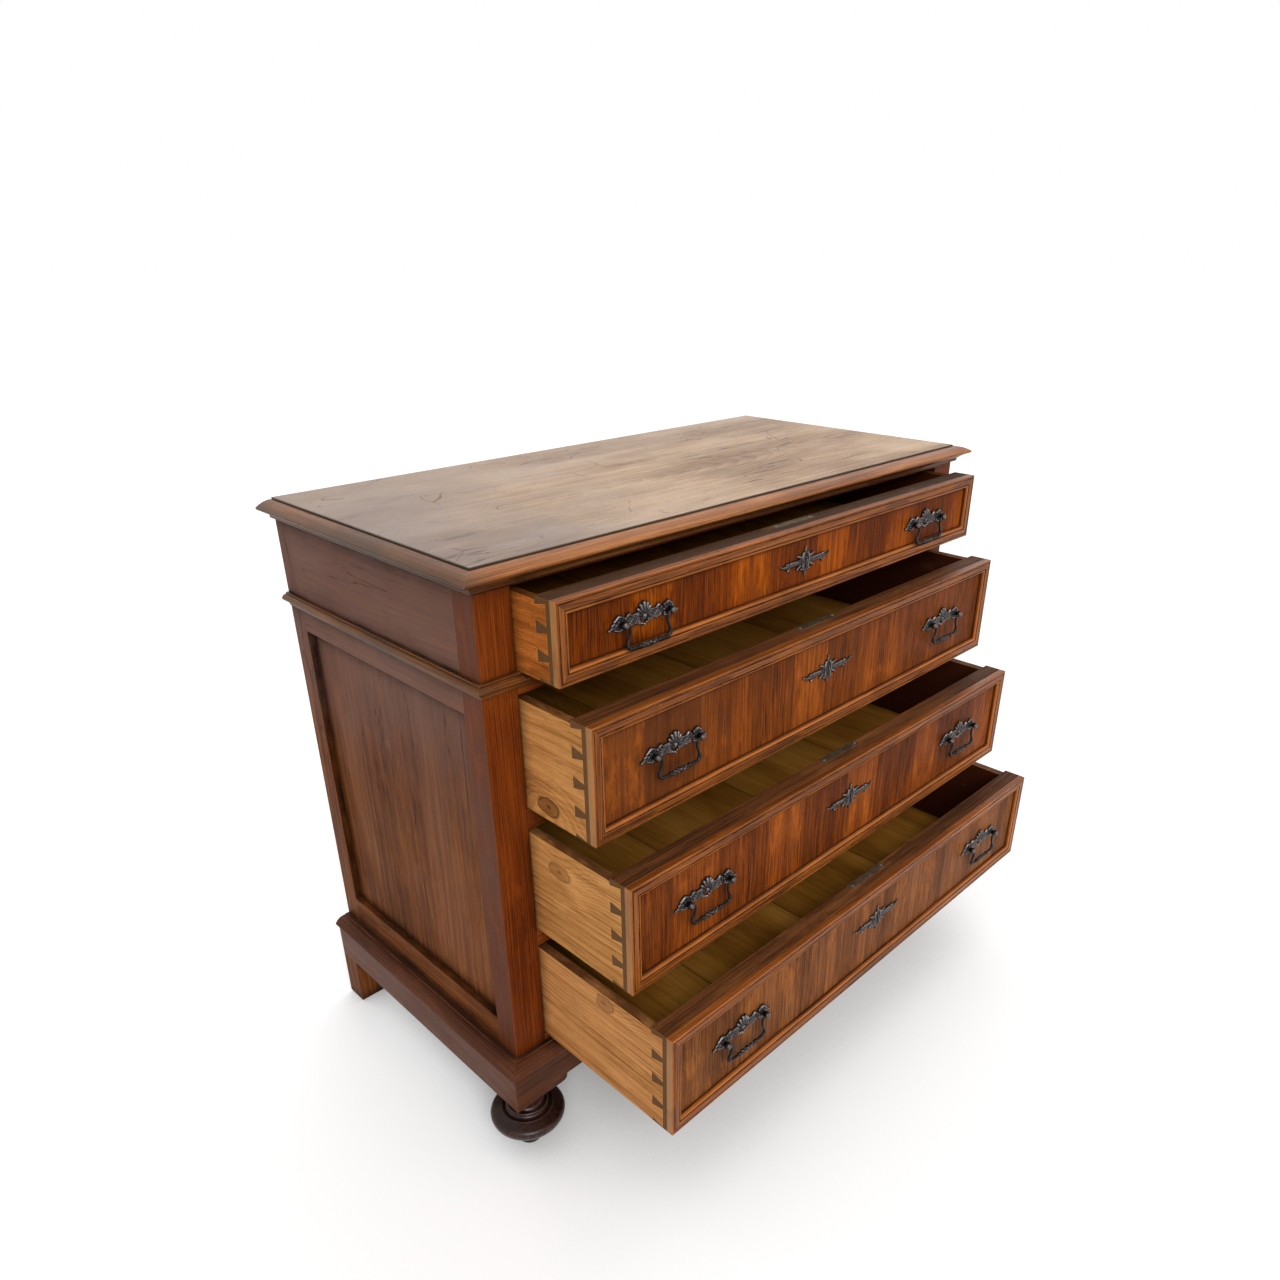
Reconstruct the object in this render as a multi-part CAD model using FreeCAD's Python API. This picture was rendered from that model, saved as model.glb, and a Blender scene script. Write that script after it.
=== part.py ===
import FreeCAD, Part
import math
import os

# Walnut chest of four drawers, modelled piece by piece in millimetres.
# While it is modelled, X runs across the front, Y = 0 is the front face of the posts with
# Y growing towards the back, and Z = 0 is the floor. save() then moves every piece to the
# part's own origin, the middle of the footprint with the drawers standing ajar.

# ---- carcase
BODY_WIDTH = 1156.0
BODY_DEPTH = 543.0
POST_WIDTH = 58.5
POST_DEPTH = 46.0
SIDE_THICKNESS = 28.0
REAR_STILE_WIDTH = 42.0
SIDE_RECESS = 12.0
PANEL_THICKNESS = 10.0
PANEL_TONGUE = 8.0
PANEL_PLAY = 1.0
SIDE_BOTTOM_RAIL = 54.0
SIDE_MIDDLE_RAIL = 48.0
FRIEZE_THICKNESS = 22.0
TENON_LENGTH = 20.0
TENON_SHOULDER = 6.0
BACK_THICKNESS = 12.0
BACK_REBATE = 12.0
BACK_BOARD_COUNT = 5
BACK_RAIL_DEPTH = 46.0

# ---- levels, from the floor up
FOOT_HEIGHT = 99.0
PLINTH_BOARD_HEIGHT = 61.0
BOTTOM_RAIL_SHOW = 11.0
OPENING_HEIGHTS = (119.5, 181.5, 184.0, 184.0)
RAIL_HEIGHTS = (35.0, 34.0, 30.0)
TOP_RAIL_HEIGHT = 16.0
TOP_THICKNESS = 20.5

# ---- plinth and feet
PLINTH_REACH = 24.5
PLINTH_BOARD_THICKNESS = 16.0
PLINTH_BRACKET = 95.0
APRON_ROUND = 9.0
APRON_STEP = 3.0
BLOCK_SIZE = 70.0
REAR_LEG_WIDTH = 60.0
REAR_LEG_DEPTH = 46.0
REAR_LEG_CHAMFER = 3.0
FOOT_INSET_SIDE = 37.0
FOOT_INSET_FRONT = 26.0
FOOT_RADIUS = 62.0
FOOT_DOWEL_RADIUS = 8.0
FOOT_DOWEL_LENGTH = 38.0
FOOT_DOWEL_GAP = 0.2
# the turned outline from its neck down, as (radius / FOOT_RADIUS, level / FOOT_HEIGHT);
# in this table and the ones below two points in one step make an arc
FOOT_OUTLINE = (
    ((0.000, 1.000),),
    ((0.419, 1.000),),
    ((0.419, 0.909),),
    ((0.448, 0.878), (0.524, 0.862)),
    ((0.568, 0.833), (0.532, 0.805)),
    ((0.556, 0.780), (0.629, 0.768)),
    ((0.694, 0.768),),
    ((0.694, 0.756),),
    ((0.903, 0.712),),
    ((0.973, 0.685), (1.000, 0.636)),
    ((0.965, 0.549), (0.866, 0.485)),
    ((0.639, 0.410), (0.395, 0.357)),
    ((0.347, 0.040),),
    ((0.306, 0.000),),
    ((0.000, 0.000),),
)

# ---- mouldings: reach, height, and the face as (out / reach, down / height)
TOP_MOULDING_REACH = 28.0
TOP_MOULDING_DROP = 2.6
TOP_MOULDING_HEIGHT = 30.6
TOP_MOULDING_FACE = (
    ((0.000, 0.080),),
    ((0.050, 0.080),),
    ((0.050, 0.000),),
    ((0.120, 0.000),),
    ((0.620, 0.105), (0.964, 0.281)),
    ((1.000, 0.346), (0.943, 0.425)),
    ((0.620, 0.543), (0.340, 0.735)),
    ((0.286, 0.735),),
    ((0.286, 0.918),),
    ((0.000, 1.000),),
)
WAIST_REACH = 13.5
WAIST_HEIGHT = 22.5
WAIST_FACE = (
    ((0.000, 0.000),),
    ((0.407, 0.000),),
    ((0.407, 0.089),),
    ((0.311, 0.124),),
    ((0.800, 0.196), (0.978, 0.356)),
    ((1.000, 0.436), (0.881, 0.507)),
    ((0.450, 0.658), (0.148, 0.871)),
    ((0.148, 1.000),),
    ((0.000, 1.000),),
)
PLINTH_MOULDING_REACH = 30.5
PLINTH_MOULDING_HEIGHT = 24.5
PLINTH_MOULDING_FACE = (
    ((0.000, 0.000),),
    ((0.279, 0.000),),
    ((0.279, 0.061),),
    ((0.780, 0.188), (0.987, 0.469)),
    ((1.000, 0.551), (0.967, 0.633)),
    ((0.843, 0.776), (PLINTH_REACH / PLINTH_MOULDING_REACH, 1.000)),
    ((0.000, 1.000),),
)

# ---- drawers, top one first
DRAWER_OPEN = (88.0, 147.0, 213.0, 291.0)
DRAWER_LENGTH = 518.0
SIDE_GAP = 3.2
RUN_GAP = 0.3
TOP_GAP = 2.0
FRAME_THICKNESS = 12.0
FRAME_WIDTH = 22.0
FRAME_BAND = 15.0
FRAME_QUIRK = 1.2
FRAME_OVOLO = (0.72, 0.30)
PANEL_DEPTH = 7.5
CORE_THICKNESS = 30.0
DRAWER_SIDE = 15.0
SIDE_TOP_DROP = 5.5
LAP = 8.0
PIN_WIDTH = 19.0
END_PIN_WIDTH = 6.0
PIN_FLARE = 5.0
TAIL_COUNTS = (3, 4, 4, 4)
REAR_TAIL_COUNTS = (2, 3, 3, 3)
REAR_PIN_FLARE = 3.0
DRAWER_BACK = 14.0
BACK_DROP = 8.0
BOTTOM_THICKNESS = 8.0
BOTTOM_RISE = 10.0
BOTTOM_TONGUE = 6.0
BOTTOM_BOARD_COUNT = 4

# ---- runners
RUNNER_THICKNESS = 22.0
RUNNER_WIDTH = 60.0
GUIDE_HEIGHT = 22.0

# ---- locks
LOCK_WIDTH = 78.0
LOCK_DEPTH = 12.0
LOCK_BELOW_KEY = 24.0
SELVEDGE_LENGTH = 100.0
SELVEDGE_WIDTH = 14.0
SELVEDGE_THICKNESS = 2.0
BOLT_WIDTH = 18.0
BOLT_THICKNESS = 6.0
BOLT_LENGTH = 26.0
BOLT_THROW = 10.0
BOLT_GAP = 0.3
STRIKE_GAP = 1.0
KEY_DROPS = (60.0, 76.0, 76.0, 76.0)
KEY_RADIUS = 2.7
KEY_RISE = 4.0
KEY_SLOT_WIDTH = 2.6
KEY_SLOT_LENGTH = 13.0

# ---- handles: a cast plate with relief, two drilled bosses and a swinging bail
HANDLE_FROM_END = 156.3
HANDLE_DROPS = (58.5, 81.0, 81.0, 81.0)
BOSS_OFFSET = 45.0
BOSS_STAND_OFF = 13.0
BOSS_RADIUS = 5.8
BOSS_SHANK_RADIUS = 4.0
BOSS_COLLAR_RADIUS = 6.6
BOSS_COLLAR_HEIGHT = 4.6
PLATE_HALF_WIDTH = 66.5
PLATE_THICKNESS = 2.2
# right half of the plate's outline from its crest down, in fractions of the half width
PLATE_OUTLINE = (
    ((0.000, 0.331),),
    ((0.044, 0.319), (0.069, 0.284)),
    ((0.126, 0.295), (0.149, 0.235)),
    ((0.205, 0.214), (0.195, 0.147)),
    ((0.235, 0.111), (0.218, 0.072)),
    ((0.406, 0.090),),
    ((0.474, 0.150), (0.541, 0.083)),
    ((0.684, 0.188), (0.835, 0.045)),
    ((0.880, -0.030), (0.947, -0.048)),
    ((1.000, -0.081), (0.953, -0.120)),
    ((0.887, -0.114), (0.827, -0.144)),
    ((0.759, -0.192), (0.692, -0.159)),
    ((0.624, -0.180), (0.571, -0.114)),
    ((0.451, -0.081),),
    ((0.391, -0.129), (0.323, -0.093)),
    ((0.256, -0.147), (0.188, -0.111)),
    ((0.132, -0.174), (0.075, -0.144)),
    ((0.048, -0.202), (0.000, -0.211)),
)
# relief: low domes as (across, up, radius, rise), and shell ribs that end at (across, up)
PLATE_DOMES = (
    (0.677, 0.000, 0.130, 0.045),
    (0.474, 0.095, 0.036, 0.016),
    (0.000, 0.015, 0.070, 0.030),
    (0.000, -0.155, 0.030, 0.016),
    (0.132, -0.120, 0.026, 0.014),
    (0.256, -0.095, 0.030, 0.014),
    (0.391, -0.080, 0.030, 0.014),
)
RIB_ROOT = (0.000, 0.110)
RIB_ROOT_RADIUS = 1.0
RIB_TIP_RADIUS = 1.7
RIB_DEPTH = 1.8
RIB_TIPS = ((0.000, 0.286), (0.095, 0.252), (0.158, 0.170))
BAIL_RADIUS = 2.1
BAIL_HOLE_GAP = 0.3
BAIL_DROP = 36.0
BAIL_ARM_OFFSET = 36.0
BAIL_FILLET = 4.0
BAIL_CORNER = 15.0
BAIL_FLARE_DEG = 42.0
GRIP_RADIUS = 4.4
GRIP_HALF_LENGTH = 21.0
GRIP_NECK_RADIUS = 2.6
GRIP_BEAD_RADIUS = 3.6
GRIP_BEAD_LENGTH = 4.0

# ---- escutcheons, drawn like the handle plates
ESCUTCHEON_HALF_WIDTH = 66.0
ESCUTCHEON_THICKNESS = 2.0
ESCUTCHEON_OUTLINE = (
    ((0.000, 0.394),),
    ((0.022, 0.313), (0.076, 0.258)),
    ((0.136, 0.235), (0.152, 0.182)),
    ((0.212, 0.164), (0.333, 0.220)),
    ((0.341, 0.146), (0.394, 0.098)),
    ((0.500, 0.133), (0.606, 0.098)),
    ((0.712, 0.129), (0.803, 0.068)),
    ((0.894, 0.039), (1.000, 0.061)),
    ((0.909, -0.024), (0.811, -0.053)),
    ((0.742, -0.133), (0.667, -0.091)),
    ((0.561, -0.058), (0.439, -0.076)),
    ((0.379, -0.094), (0.326, -0.167)),
    ((0.265, -0.133), (0.197, -0.136)),
    ((0.185, -0.215), (0.091, -0.242)),
    ((0.033, -0.280), (0.000, -0.348)),
)
ESCUTCHEON_DOMES = (
    (0.000, 0.235, 0.032, 0.018),
    (0.000, 0.010, 0.125, 0.040),
    (0.000, -0.235, 0.030, 0.018),
    (0.290, 0.020, 0.060, 0.024),
    (0.500, 0.010, 0.075, 0.026),
    (0.710, 0.005, 0.060, 0.024),
)

# ---- places that follow from the sizes above
BODY_HALF = BODY_WIDTH / 2
POST_INNER = BODY_HALF - POST_WIDTH
SIDE_INNER = BODY_HALF - SIDE_THICKNESS
STILE_FRONT = BODY_DEPTH - REAR_STILE_WIDTH
BACK_FRONT = BODY_DEPTH - BACK_THICKNESS
CARCASE_FOOT = FOOT_HEIGHT + PLINTH_BOARD_HEIGHT
PLINTH_TOP = CARCASE_FOOT + PLINTH_MOULDING_HEIGHT
PLINTH_HALF = BODY_HALF + PLINTH_REACH
BLOCK_OUTER = PLINTH_HALF - PLINTH_BOARD_THICKNESS
BLOCK_FRONT = PLINTH_BOARD_THICKNESS - PLINTH_REACH
FRONT_HALF = POST_INNER - SIDE_GAP
HANDLE_OFFSET = FRONT_HALF - HANDLE_FROM_END
DRAWER_COUNT = len(OPENING_HEIGHTS)


def opening_levels():
    """Bottom and top of each drawer opening, top drawer first."""
    levels = []
    floor = PLINTH_TOP + BOTTOM_RAIL_SHOW
    for index in reversed(range(DRAWER_COUNT)):
        ceiling = floor + OPENING_HEIGHTS[index]
        levels.insert(0, (floor, ceiling))
        if index > 0:
            floor = ceiling + RAIL_HEIGHTS[index - 1]
    return levels


OPENINGS = opening_levels()
TOP_RAIL_FOOT = OPENINGS[0][1]
CARCASE_TOP = TOP_RAIL_FOOT + TOP_RAIL_HEIGHT
TOP_LEVEL = CARCASE_TOP + TOP_THICKNESS
WAIST_TOP = OPENINGS[0][0]
SIDE_RAIL_TOP = WAIST_TOP - WAIST_HEIGHT / 2
BOSS_REACH = BOSS_STAND_OFF + BOSS_RADIUS - PANEL_DEPTH
FRONT_REACH = DRAWER_OPEN[DRAWER_COUNT - 1] + BOSS_REACH
ORIGIN_SHIFT = (FRONT_REACH - BODY_DEPTH) / 2


# ---- helpers
def vec(x, y, z):
    return FreeCAD.Vector(x, y, z)


def box(x0, x1, y0, y1, z0, z1):
    """Block between two corners."""
    return Part.makeBox(x1 - x0, y1 - y0, z1 - z0, vec(x0, y0, z0))


def prism(corners, direction):
    """Straight-sided outline, pushed along a vector."""
    return Part.Face(Part.makePolygon(corners + corners[:1])).extrude(direction)


def outline_wire(start, steps, place):
    """Closed wire of lines (end) and arcs (via, end), with flat points placed in space."""
    edges = []
    here = start
    for step in steps + [(start,)]:
        end = step[-1]
        if end == here:
            continue
        if len(step) == 2:
            edges.append(Part.Arc(place(*here), place(*step[0]), place(*end)).toShape())
        else:
            edges.append(Part.LineSegment(place(*here), place(*end)).toShape())
        here = end
    return Part.Wire(edges)


def other_side(shape):
    """The same piece at the other end of the chest."""
    return shape.mirror(vec(0, 0, 0), vec(1, 0, 0))


def pair(shape):
    return [shape, other_side(shape)]


def fuse(shapes):
    return shapes[0].multiFuse(shapes[1:]).removeSplitter()


def cut(shape, tools):
    return shape.cut(tools).removeSplitter()


def save(name, shapes):
    """Write one sub-part, moved to the part's origin."""
    group = Part.makeCompound(shapes) if len(shapes) > 1 else shapes[0].copy()
    group.translate(vec(0, ORIGIN_SHIFT, 0))
    group.exportStep("parts/" + name + ".step")


def scaled(table, place):
    """Start and steps of an outline, each table point turned into real sizes."""
    steps = [tuple(place(*point) for point in step) for step in table]
    return steps[0][0], steps[1:]


def mitred_run(face, reach, low, high):
    """A moulding round the front and both sides of the body, mitred at the two corners."""
    outer = BODY_HALF + reach
    height = high - low
    start, steps = scaled(face, lambda out, down: (out * reach, high - down * height))
    front_face = Part.Face(outline_wire(start, steps, lambda out, z: vec(-outer, -out, z)))
    front_plan = [vec(-outer, -reach, low), vec(outer, -reach, low), vec(BODY_HALF, 0, low),
                  vec(-BODY_HALF, 0, low)]
    front = front_face.extrude(vec(2 * outer, 0, 0)).common(prism(front_plan, vec(0, 0, height)))
    side_face = Part.Face(outline_wire(start, steps,
                                       lambda out, z: vec(-BODY_HALF - out, -reach, z)))
    side_plan = [vec(-outer, -reach, low), vec(-BODY_HALF, 0, low),
                 vec(-BODY_HALF, BODY_DEPTH, low), vec(-outer, BODY_DEPTH, low)]
    side = side_face.extrude(vec(0, BODY_DEPTH + reach, 0))
    side = side.common(prism(side_plan, vec(0, 0, height)))
    return [front] + pair(side)


# ---- top and mouldings
def top_board():
    """Flat top, standing a little proud of the moulding round its edge."""
    return box(-BODY_HALF, BODY_HALF, 0, BODY_DEPTH, CARCASE_TOP, TOP_LEVEL)


def top_moulding():
    """Quirk beside the top, ovolo over a cavetto, and a small bead against the body."""
    high = TOP_LEVEL - TOP_MOULDING_DROP
    return mitred_run(TOP_MOULDING_FACE, TOP_MOULDING_REACH, high - TOP_MOULDING_HEIGHT, high)


def waist_moulding():
    """Small fillet, quirk and ovolo round the body between the first and second drawers."""
    return mitred_run(WAIST_FACE, WAIST_REACH, WAIST_TOP - WAIST_HEIGHT, WAIST_TOP)


def plinth_moulding():
    """Broad ovolo on the plinth boards, with a small cove under its nose."""
    return mitred_run(PLINTH_MOULDING_FACE, PLINTH_MOULDING_REACH, CARCASE_FOOT, PLINTH_TOP)


# ---- front frame
def rail_levels():
    """Foot and top of the bottom rail and of the three rails between drawers."""
    levels = [(CARCASE_FOOT, OPENINGS[-1][0])]
    for lower, upper in zip(OPENINGS[:0:-1], OPENINGS[-2::-1]):
        levels.append((lower[1], upper[0]))
    return levels


def rail_tenon(foot, top):
    """Tenon at the left end of a front rail; its post is mortised with the same block."""
    third = POST_DEPTH / 3
    return box(-POST_INNER - TENON_LENGTH, -POST_INNER, third, 2 * third,
               foot + TENON_SHOULDER, top - TENON_SHOULDER)


def strike_mortise(index):
    """Pocket over a closed drawer's bolt, in the rail above it."""
    middle = FRAME_THICKNESS + CORE_THICKNESS - SELVEDGE_WIDTH / 2
    half_x = BOLT_WIDTH / 2 + STRIKE_GAP
    half_y = BOLT_THICKNESS / 2 + STRIKE_GAP
    ceiling = OPENINGS[index][1]
    return box(-half_x, half_x, middle - half_y, middle + half_y, ceiling,
               ceiling + BOLT_THROW - TOP_GAP + STRIKE_GAP)


def front_rails():
    """Bottom rail, three drawer rails tenoned into the posts, and the top rail over them."""
    rails = []
    for position, (foot, top) in enumerate(rail_levels()):
        body = box(-POST_INNER, POST_INNER, 0, POST_DEPTH, foot, top)
        tenon = rail_tenon(foot, top)
        rail = fuse([body, tenon, other_side(tenon)])
        if position > 0:
            rail = cut(rail, [strike_mortise(DRAWER_COUNT - position)])
        rails.append(rail)
    top_rail = box(-BODY_HALF, BODY_HALF, 0, POST_DEPTH, TOP_RAIL_FOOT, CARCASE_TOP)
    rails.append(cut(top_rail, [strike_mortise(0)]))
    return rails


# ---- sides
def side_rail_levels():
    """Foot and top of the two framing rails of a side."""
    return ((CARCASE_FOOT, PLINTH_TOP + SIDE_BOTTOM_RAIL),
            (SIDE_RAIL_TOP - SIDE_MIDDLE_RAIL, SIDE_RAIL_TOP))


def side_tenons(foot, top):
    """Stub tenons of a left side rail, into the post and into the rear stile."""
    third = SIDE_THICKNESS / 3
    outer = -BODY_HALF + third
    inner = outer + third
    low = foot + TENON_SHOULDER
    high = top - TENON_SHOULDER
    return [box(outer, inner, POST_DEPTH - TENON_LENGTH, POST_DEPTH, low, high),
            box(outer, inner, STILE_FRONT, STILE_FRONT + TENON_LENGTH, low, high)]


def side_panel_block(play):
    """Left side panel with its tongues; a larger block cuts the grooves."""
    (_, low), (high, _) = side_rail_levels()
    tongue = PANEL_TONGUE - play
    outer = -BODY_HALF + SIDE_RECESS
    return box(outer, outer + PANEL_THICKNESS, POST_DEPTH - tongue, STILE_FRONT + tongue,
               low - tongue, high + tongue)


def front_post():
    """Left corner post, mortised for the rails and grooved for the side panel."""
    post = box(-BODY_HALF, -POST_INNER, 0, POST_DEPTH, CARCASE_FOOT, TOP_RAIL_FOOT)
    tools = [rail_tenon(foot, top) for foot, top in rail_levels()]
    for foot, top in side_rail_levels():
        tools += side_tenons(foot, top)
    tools.append(side_panel_block(0))
    return cut(post, tools)


def rear_stile():
    """Left rear stile, rebated for the back boards."""
    stile = box(-BODY_HALF, -SIDE_INNER, STILE_FRONT, BODY_DEPTH, CARCASE_FOOT, CARCASE_TOP)
    rebate = box(-SIDE_INNER - BACK_REBATE, -SIDE_INNER, BACK_FRONT, BODY_DEPTH,
                 CARCASE_FOOT, CARCASE_TOP)
    tools = [rebate, side_panel_block(0)]
    for foot, top in side_rail_levels():
        tools += side_tenons(foot, top)
    return cut(stile, tools)


def side_rails():
    """Left bottom and middle rails, and the frieze board over them."""
    pieces = []
    for foot, top in side_rail_levels():
        body = box(-BODY_HALF, -SIDE_INNER, POST_DEPTH, STILE_FRONT, foot, top)
        pieces.append(cut(fuse([body] + side_tenons(foot, top)), [side_panel_block(0)]))
    frieze = box(-BODY_HALF, -BODY_HALF + FRIEZE_THICKNESS, POST_DEPTH, STILE_FRONT,
                 SIDE_RAIL_TOP, CARCASE_TOP)
    return pieces + [frieze]


# ---- inside and back
def drawer_runners():
    """Left runner and guide for each drawer, and the kicker over the top one."""
    pieces = []
    for floor, _ in OPENINGS:
        pieces.append(box(-SIDE_INNER, -SIDE_INNER + RUNNER_WIDTH, POST_DEPTH, BACK_FRONT,
                          floor - RUNNER_THICKNESS, floor))
        pieces.append(box(-SIDE_INNER, -POST_INNER, POST_DEPTH, BACK_FRONT,
                          floor, floor + GUIDE_HEIGHT))
    kicker = box(-SIDE_INNER, -SIDE_INNER + RUNNER_WIDTH, POST_DEPTH,
                 BACK_FRONT - BACK_RAIL_DEPTH, TOP_RAIL_FOOT, CARCASE_TOP)
    return pieces + [kicker]


def back_rails():
    """Rails that the back boards are nailed to, at the top and under the lowest drawer."""
    front = BACK_FRONT - BACK_RAIL_DEPTH
    top = box(-SIDE_INNER, SIDE_INNER, front, BACK_FRONT, TOP_RAIL_FOOT, CARCASE_TOP)
    lowest = OPENINGS[-1][0] - RUNNER_THICKNESS
    inner = SIDE_INNER - RUNNER_WIDTH
    bottom = box(-inner, inner, front, BACK_FRONT, CARCASE_FOOT, lowest + RUNNER_THICKNESS / 2)
    return [top, bottom]


def back_boards():
    """Upright boards let into the rebates of the rear stiles."""
    half = SIDE_INNER + BACK_REBATE
    width = 2 * half / BACK_BOARD_COUNT
    boards = []
    for index in range(BACK_BOARD_COUNT):
        left = -half + index * width
        boards.append(box(left, left + width, BACK_FRONT, BODY_DEPTH, CARCASE_FOOT, CARCASE_TOP))
    return boards


# ---- plinth
def plinth_front():
    """Front board with a straight apron between two brackets, mitred at its ends."""
    flat_end = -PLINTH_HALF + PLINTH_BRACKET
    apron = FOOT_HEIGHT + APRON_ROUND + APRON_STEP
    turn = APRON_ROUND * (1 - math.sqrt(0.5))
    step_x = flat_end + APRON_ROUND
    left = [((flat_end, FOOT_HEIGHT),),
            ((step_x - turn, FOOT_HEIGHT + turn), (step_x, FOOT_HEIGHT + APRON_ROUND)),
            ((step_x, apron),)]
    right = [((-step_x, apron),),
             ((-step_x, FOOT_HEIGHT + APRON_ROUND),),
             ((turn - step_x, FOOT_HEIGHT + turn), (-flat_end, FOOT_HEIGHT)),
             ((PLINTH_HALF, FOOT_HEIGHT),),
             ((PLINTH_HALF, CARCASE_FOOT),),
             ((-PLINTH_HALF, CARCASE_FOOT),)]
    wire = outline_wire((-PLINTH_HALF, FOOT_HEIGHT), left + right,
                        lambda x, z: vec(x, -PLINTH_REACH, z))
    board = Part.Face(wire).extrude(vec(0, PLINTH_BOARD_THICKNESS, 0))
    plan = [vec(-PLINTH_HALF, -PLINTH_REACH, FOOT_HEIGHT),
            vec(PLINTH_HALF, -PLINTH_REACH, FOOT_HEIGHT),
            vec(BLOCK_OUTER, BLOCK_FRONT, FOOT_HEIGHT),
            vec(-BLOCK_OUTER, BLOCK_FRONT, FOOT_HEIGHT)]
    return board.common(prism(plan, vec(0, 0, PLINTH_BOARD_HEIGHT)))


def plinth_side():
    """Left board, mitred to the front one."""
    plan = [vec(-PLINTH_HALF, -PLINTH_REACH, FOOT_HEIGHT),
            vec(-BLOCK_OUTER, BLOCK_FRONT, FOOT_HEIGHT),
            vec(-BLOCK_OUTER, BODY_DEPTH, FOOT_HEIGHT),
            vec(-PLINTH_HALF, BODY_DEPTH, FOOT_HEIGHT)]
    return prism(plan, vec(0, 0, PLINTH_BOARD_HEIGHT))


def plinth_boards():
    """Front, sides and the plain back board between the rear legs."""
    inner = PLINTH_HALF - REAR_LEG_WIDTH
    back = box(-inner, inner, BODY_DEPTH - PLINTH_BOARD_THICKNESS, BODY_DEPTH,
               FOOT_HEIGHT, CARCASE_FOOT)
    return [plinth_front(), back] + pair(plinth_side())


def foot_dowel(gap):
    """Dowel of the left front foot; with a gap it is the bore in the block above."""
    x = FOOT_INSET_SIDE - PLINTH_HALF
    y = FOOT_INSET_FRONT - PLINTH_REACH
    return Part.makeCylinder(FOOT_DOWEL_RADIUS + gap, FOOT_DOWEL_LENGTH + gap,
                             vec(x, y, FOOT_HEIGHT))


def plinth_block():
    """Left front corner block that carries the post and takes the foot's dowel."""
    block = box(-BLOCK_OUTER, -BLOCK_OUTER + BLOCK_SIZE, BLOCK_FRONT, BLOCK_FRONT + BLOCK_SIZE,
                FOOT_HEIGHT, CARCASE_FOOT)
    return cut(block, [foot_dowel(FOOT_DOWEL_GAP)])


def bun_foot():
    """Left front foot, turned with a neck, a ring, a flattened ball and a tall pad."""
    start, steps = scaled(FOOT_OUTLINE, lambda out, up: (out * FOOT_RADIUS, up * FOOT_HEIGHT))
    wire = outline_wire(start, steps, lambda r, z: vec(r, 0, z))
    turned = Part.Face(wire).revolve(vec(0, 0, 0), vec(0, 0, 1), 360)
    turned.translate(vec(FOOT_INSET_SIDE - PLINTH_HALF, FOOT_INSET_FRONT - PLINTH_REACH, 0))
    return fuse([turned, foot_dowel(0)])


def rear_leg():
    """Left rear leg: square below the plinth board, and notched to stand behind it."""
    inner = -PLINTH_HALF + REAR_LEG_WIDTH
    front = BODY_DEPTH - REAR_LEG_DEPTH
    below = box(-PLINTH_HALF, inner, front, BODY_DEPTH, 0, FOOT_HEIGHT)
    foot_edges = [edge for edge in below.Edges if edge.BoundBox.ZMax < REAR_LEG_CHAMFER]
    below = below.makeChamfer(REAR_LEG_CHAMFER, foot_edges)
    behind = box(-BLOCK_OUTER, inner, front, BODY_DEPTH, FOOT_HEIGHT, CARCASE_FOOT)
    return fuse([below, behind])


# ---- drawers
class Drawer:
    """Levels and front plane of one drawer, standing ajar."""

    def __init__(self, index):
        floor, ceiling = OPENINGS[index]
        self.name = "drawer_%d_" % (index + 1)
        self.front = -DRAWER_OPEN[index]
        self.low = floor + RUN_GAP
        self.high = ceiling - TOP_GAP
        self.side_high = self.high - SIDE_TOP_DROP
        self.core_front = self.front + FRAME_THICKNESS
        self.core_back = self.core_front + CORE_THICKNESS
        self.rear = self.front + DRAWER_LENGTH
        self.panel_front = self.front + PANEL_DEPTH
        self.tails = TAIL_COUNTS[index]
        self.rear_tails = REAR_TAIL_COUNTS[index]
        self.key_level = self.high - KEY_DROPS[index]
        self.handle_level = self.high - HANDLE_DROPS[index]
        self.bottom_low = self.low + BOTTOM_RISE
        self.bottom_high = self.bottom_low + BOTTOM_THICKNESS


def tail_blocks(base, tip, low, high, count, flare):
    """Dovetails of the left drawer side, wide at their tips."""
    tail = (high - low - 2 * END_PIN_WIDTH - (count - 1) * PIN_WIDTH) / count
    blocks = []
    for index in range(count):
        foot = low + END_PIN_WIDTH + index * (tail + PIN_WIDTH)
        corners = [vec(-FRONT_HALF, base, foot), vec(-FRONT_HALF, tip, foot - flare),
                   vec(-FRONT_HALF, tip, foot + tail + flare), vec(-FRONT_HALF, base, foot + tail)]
        blocks.append(prism(corners, vec(DRAWER_SIDE, 0, 0)))
    return blocks


def frame_member_steps(width):
    """Flat band, quirk and ovolo of the frame moulding, as (inward, depth)."""
    run = width - FRAME_BAND
    fall = PANEL_DEPTH - FRAME_QUIRK
    return [((FRAME_BAND, 0.0),),
            ((FRAME_BAND, FRAME_QUIRK),),
            ((FRAME_BAND + run * FRAME_OVOLO[0], FRAME_QUIRK + fall * FRAME_OVOLO[1]),
             (width, PANEL_DEPTH)),
            ((width, FRAME_THICKNESS),),
            ((0.0, FRAME_THICKNESS),)]


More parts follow.
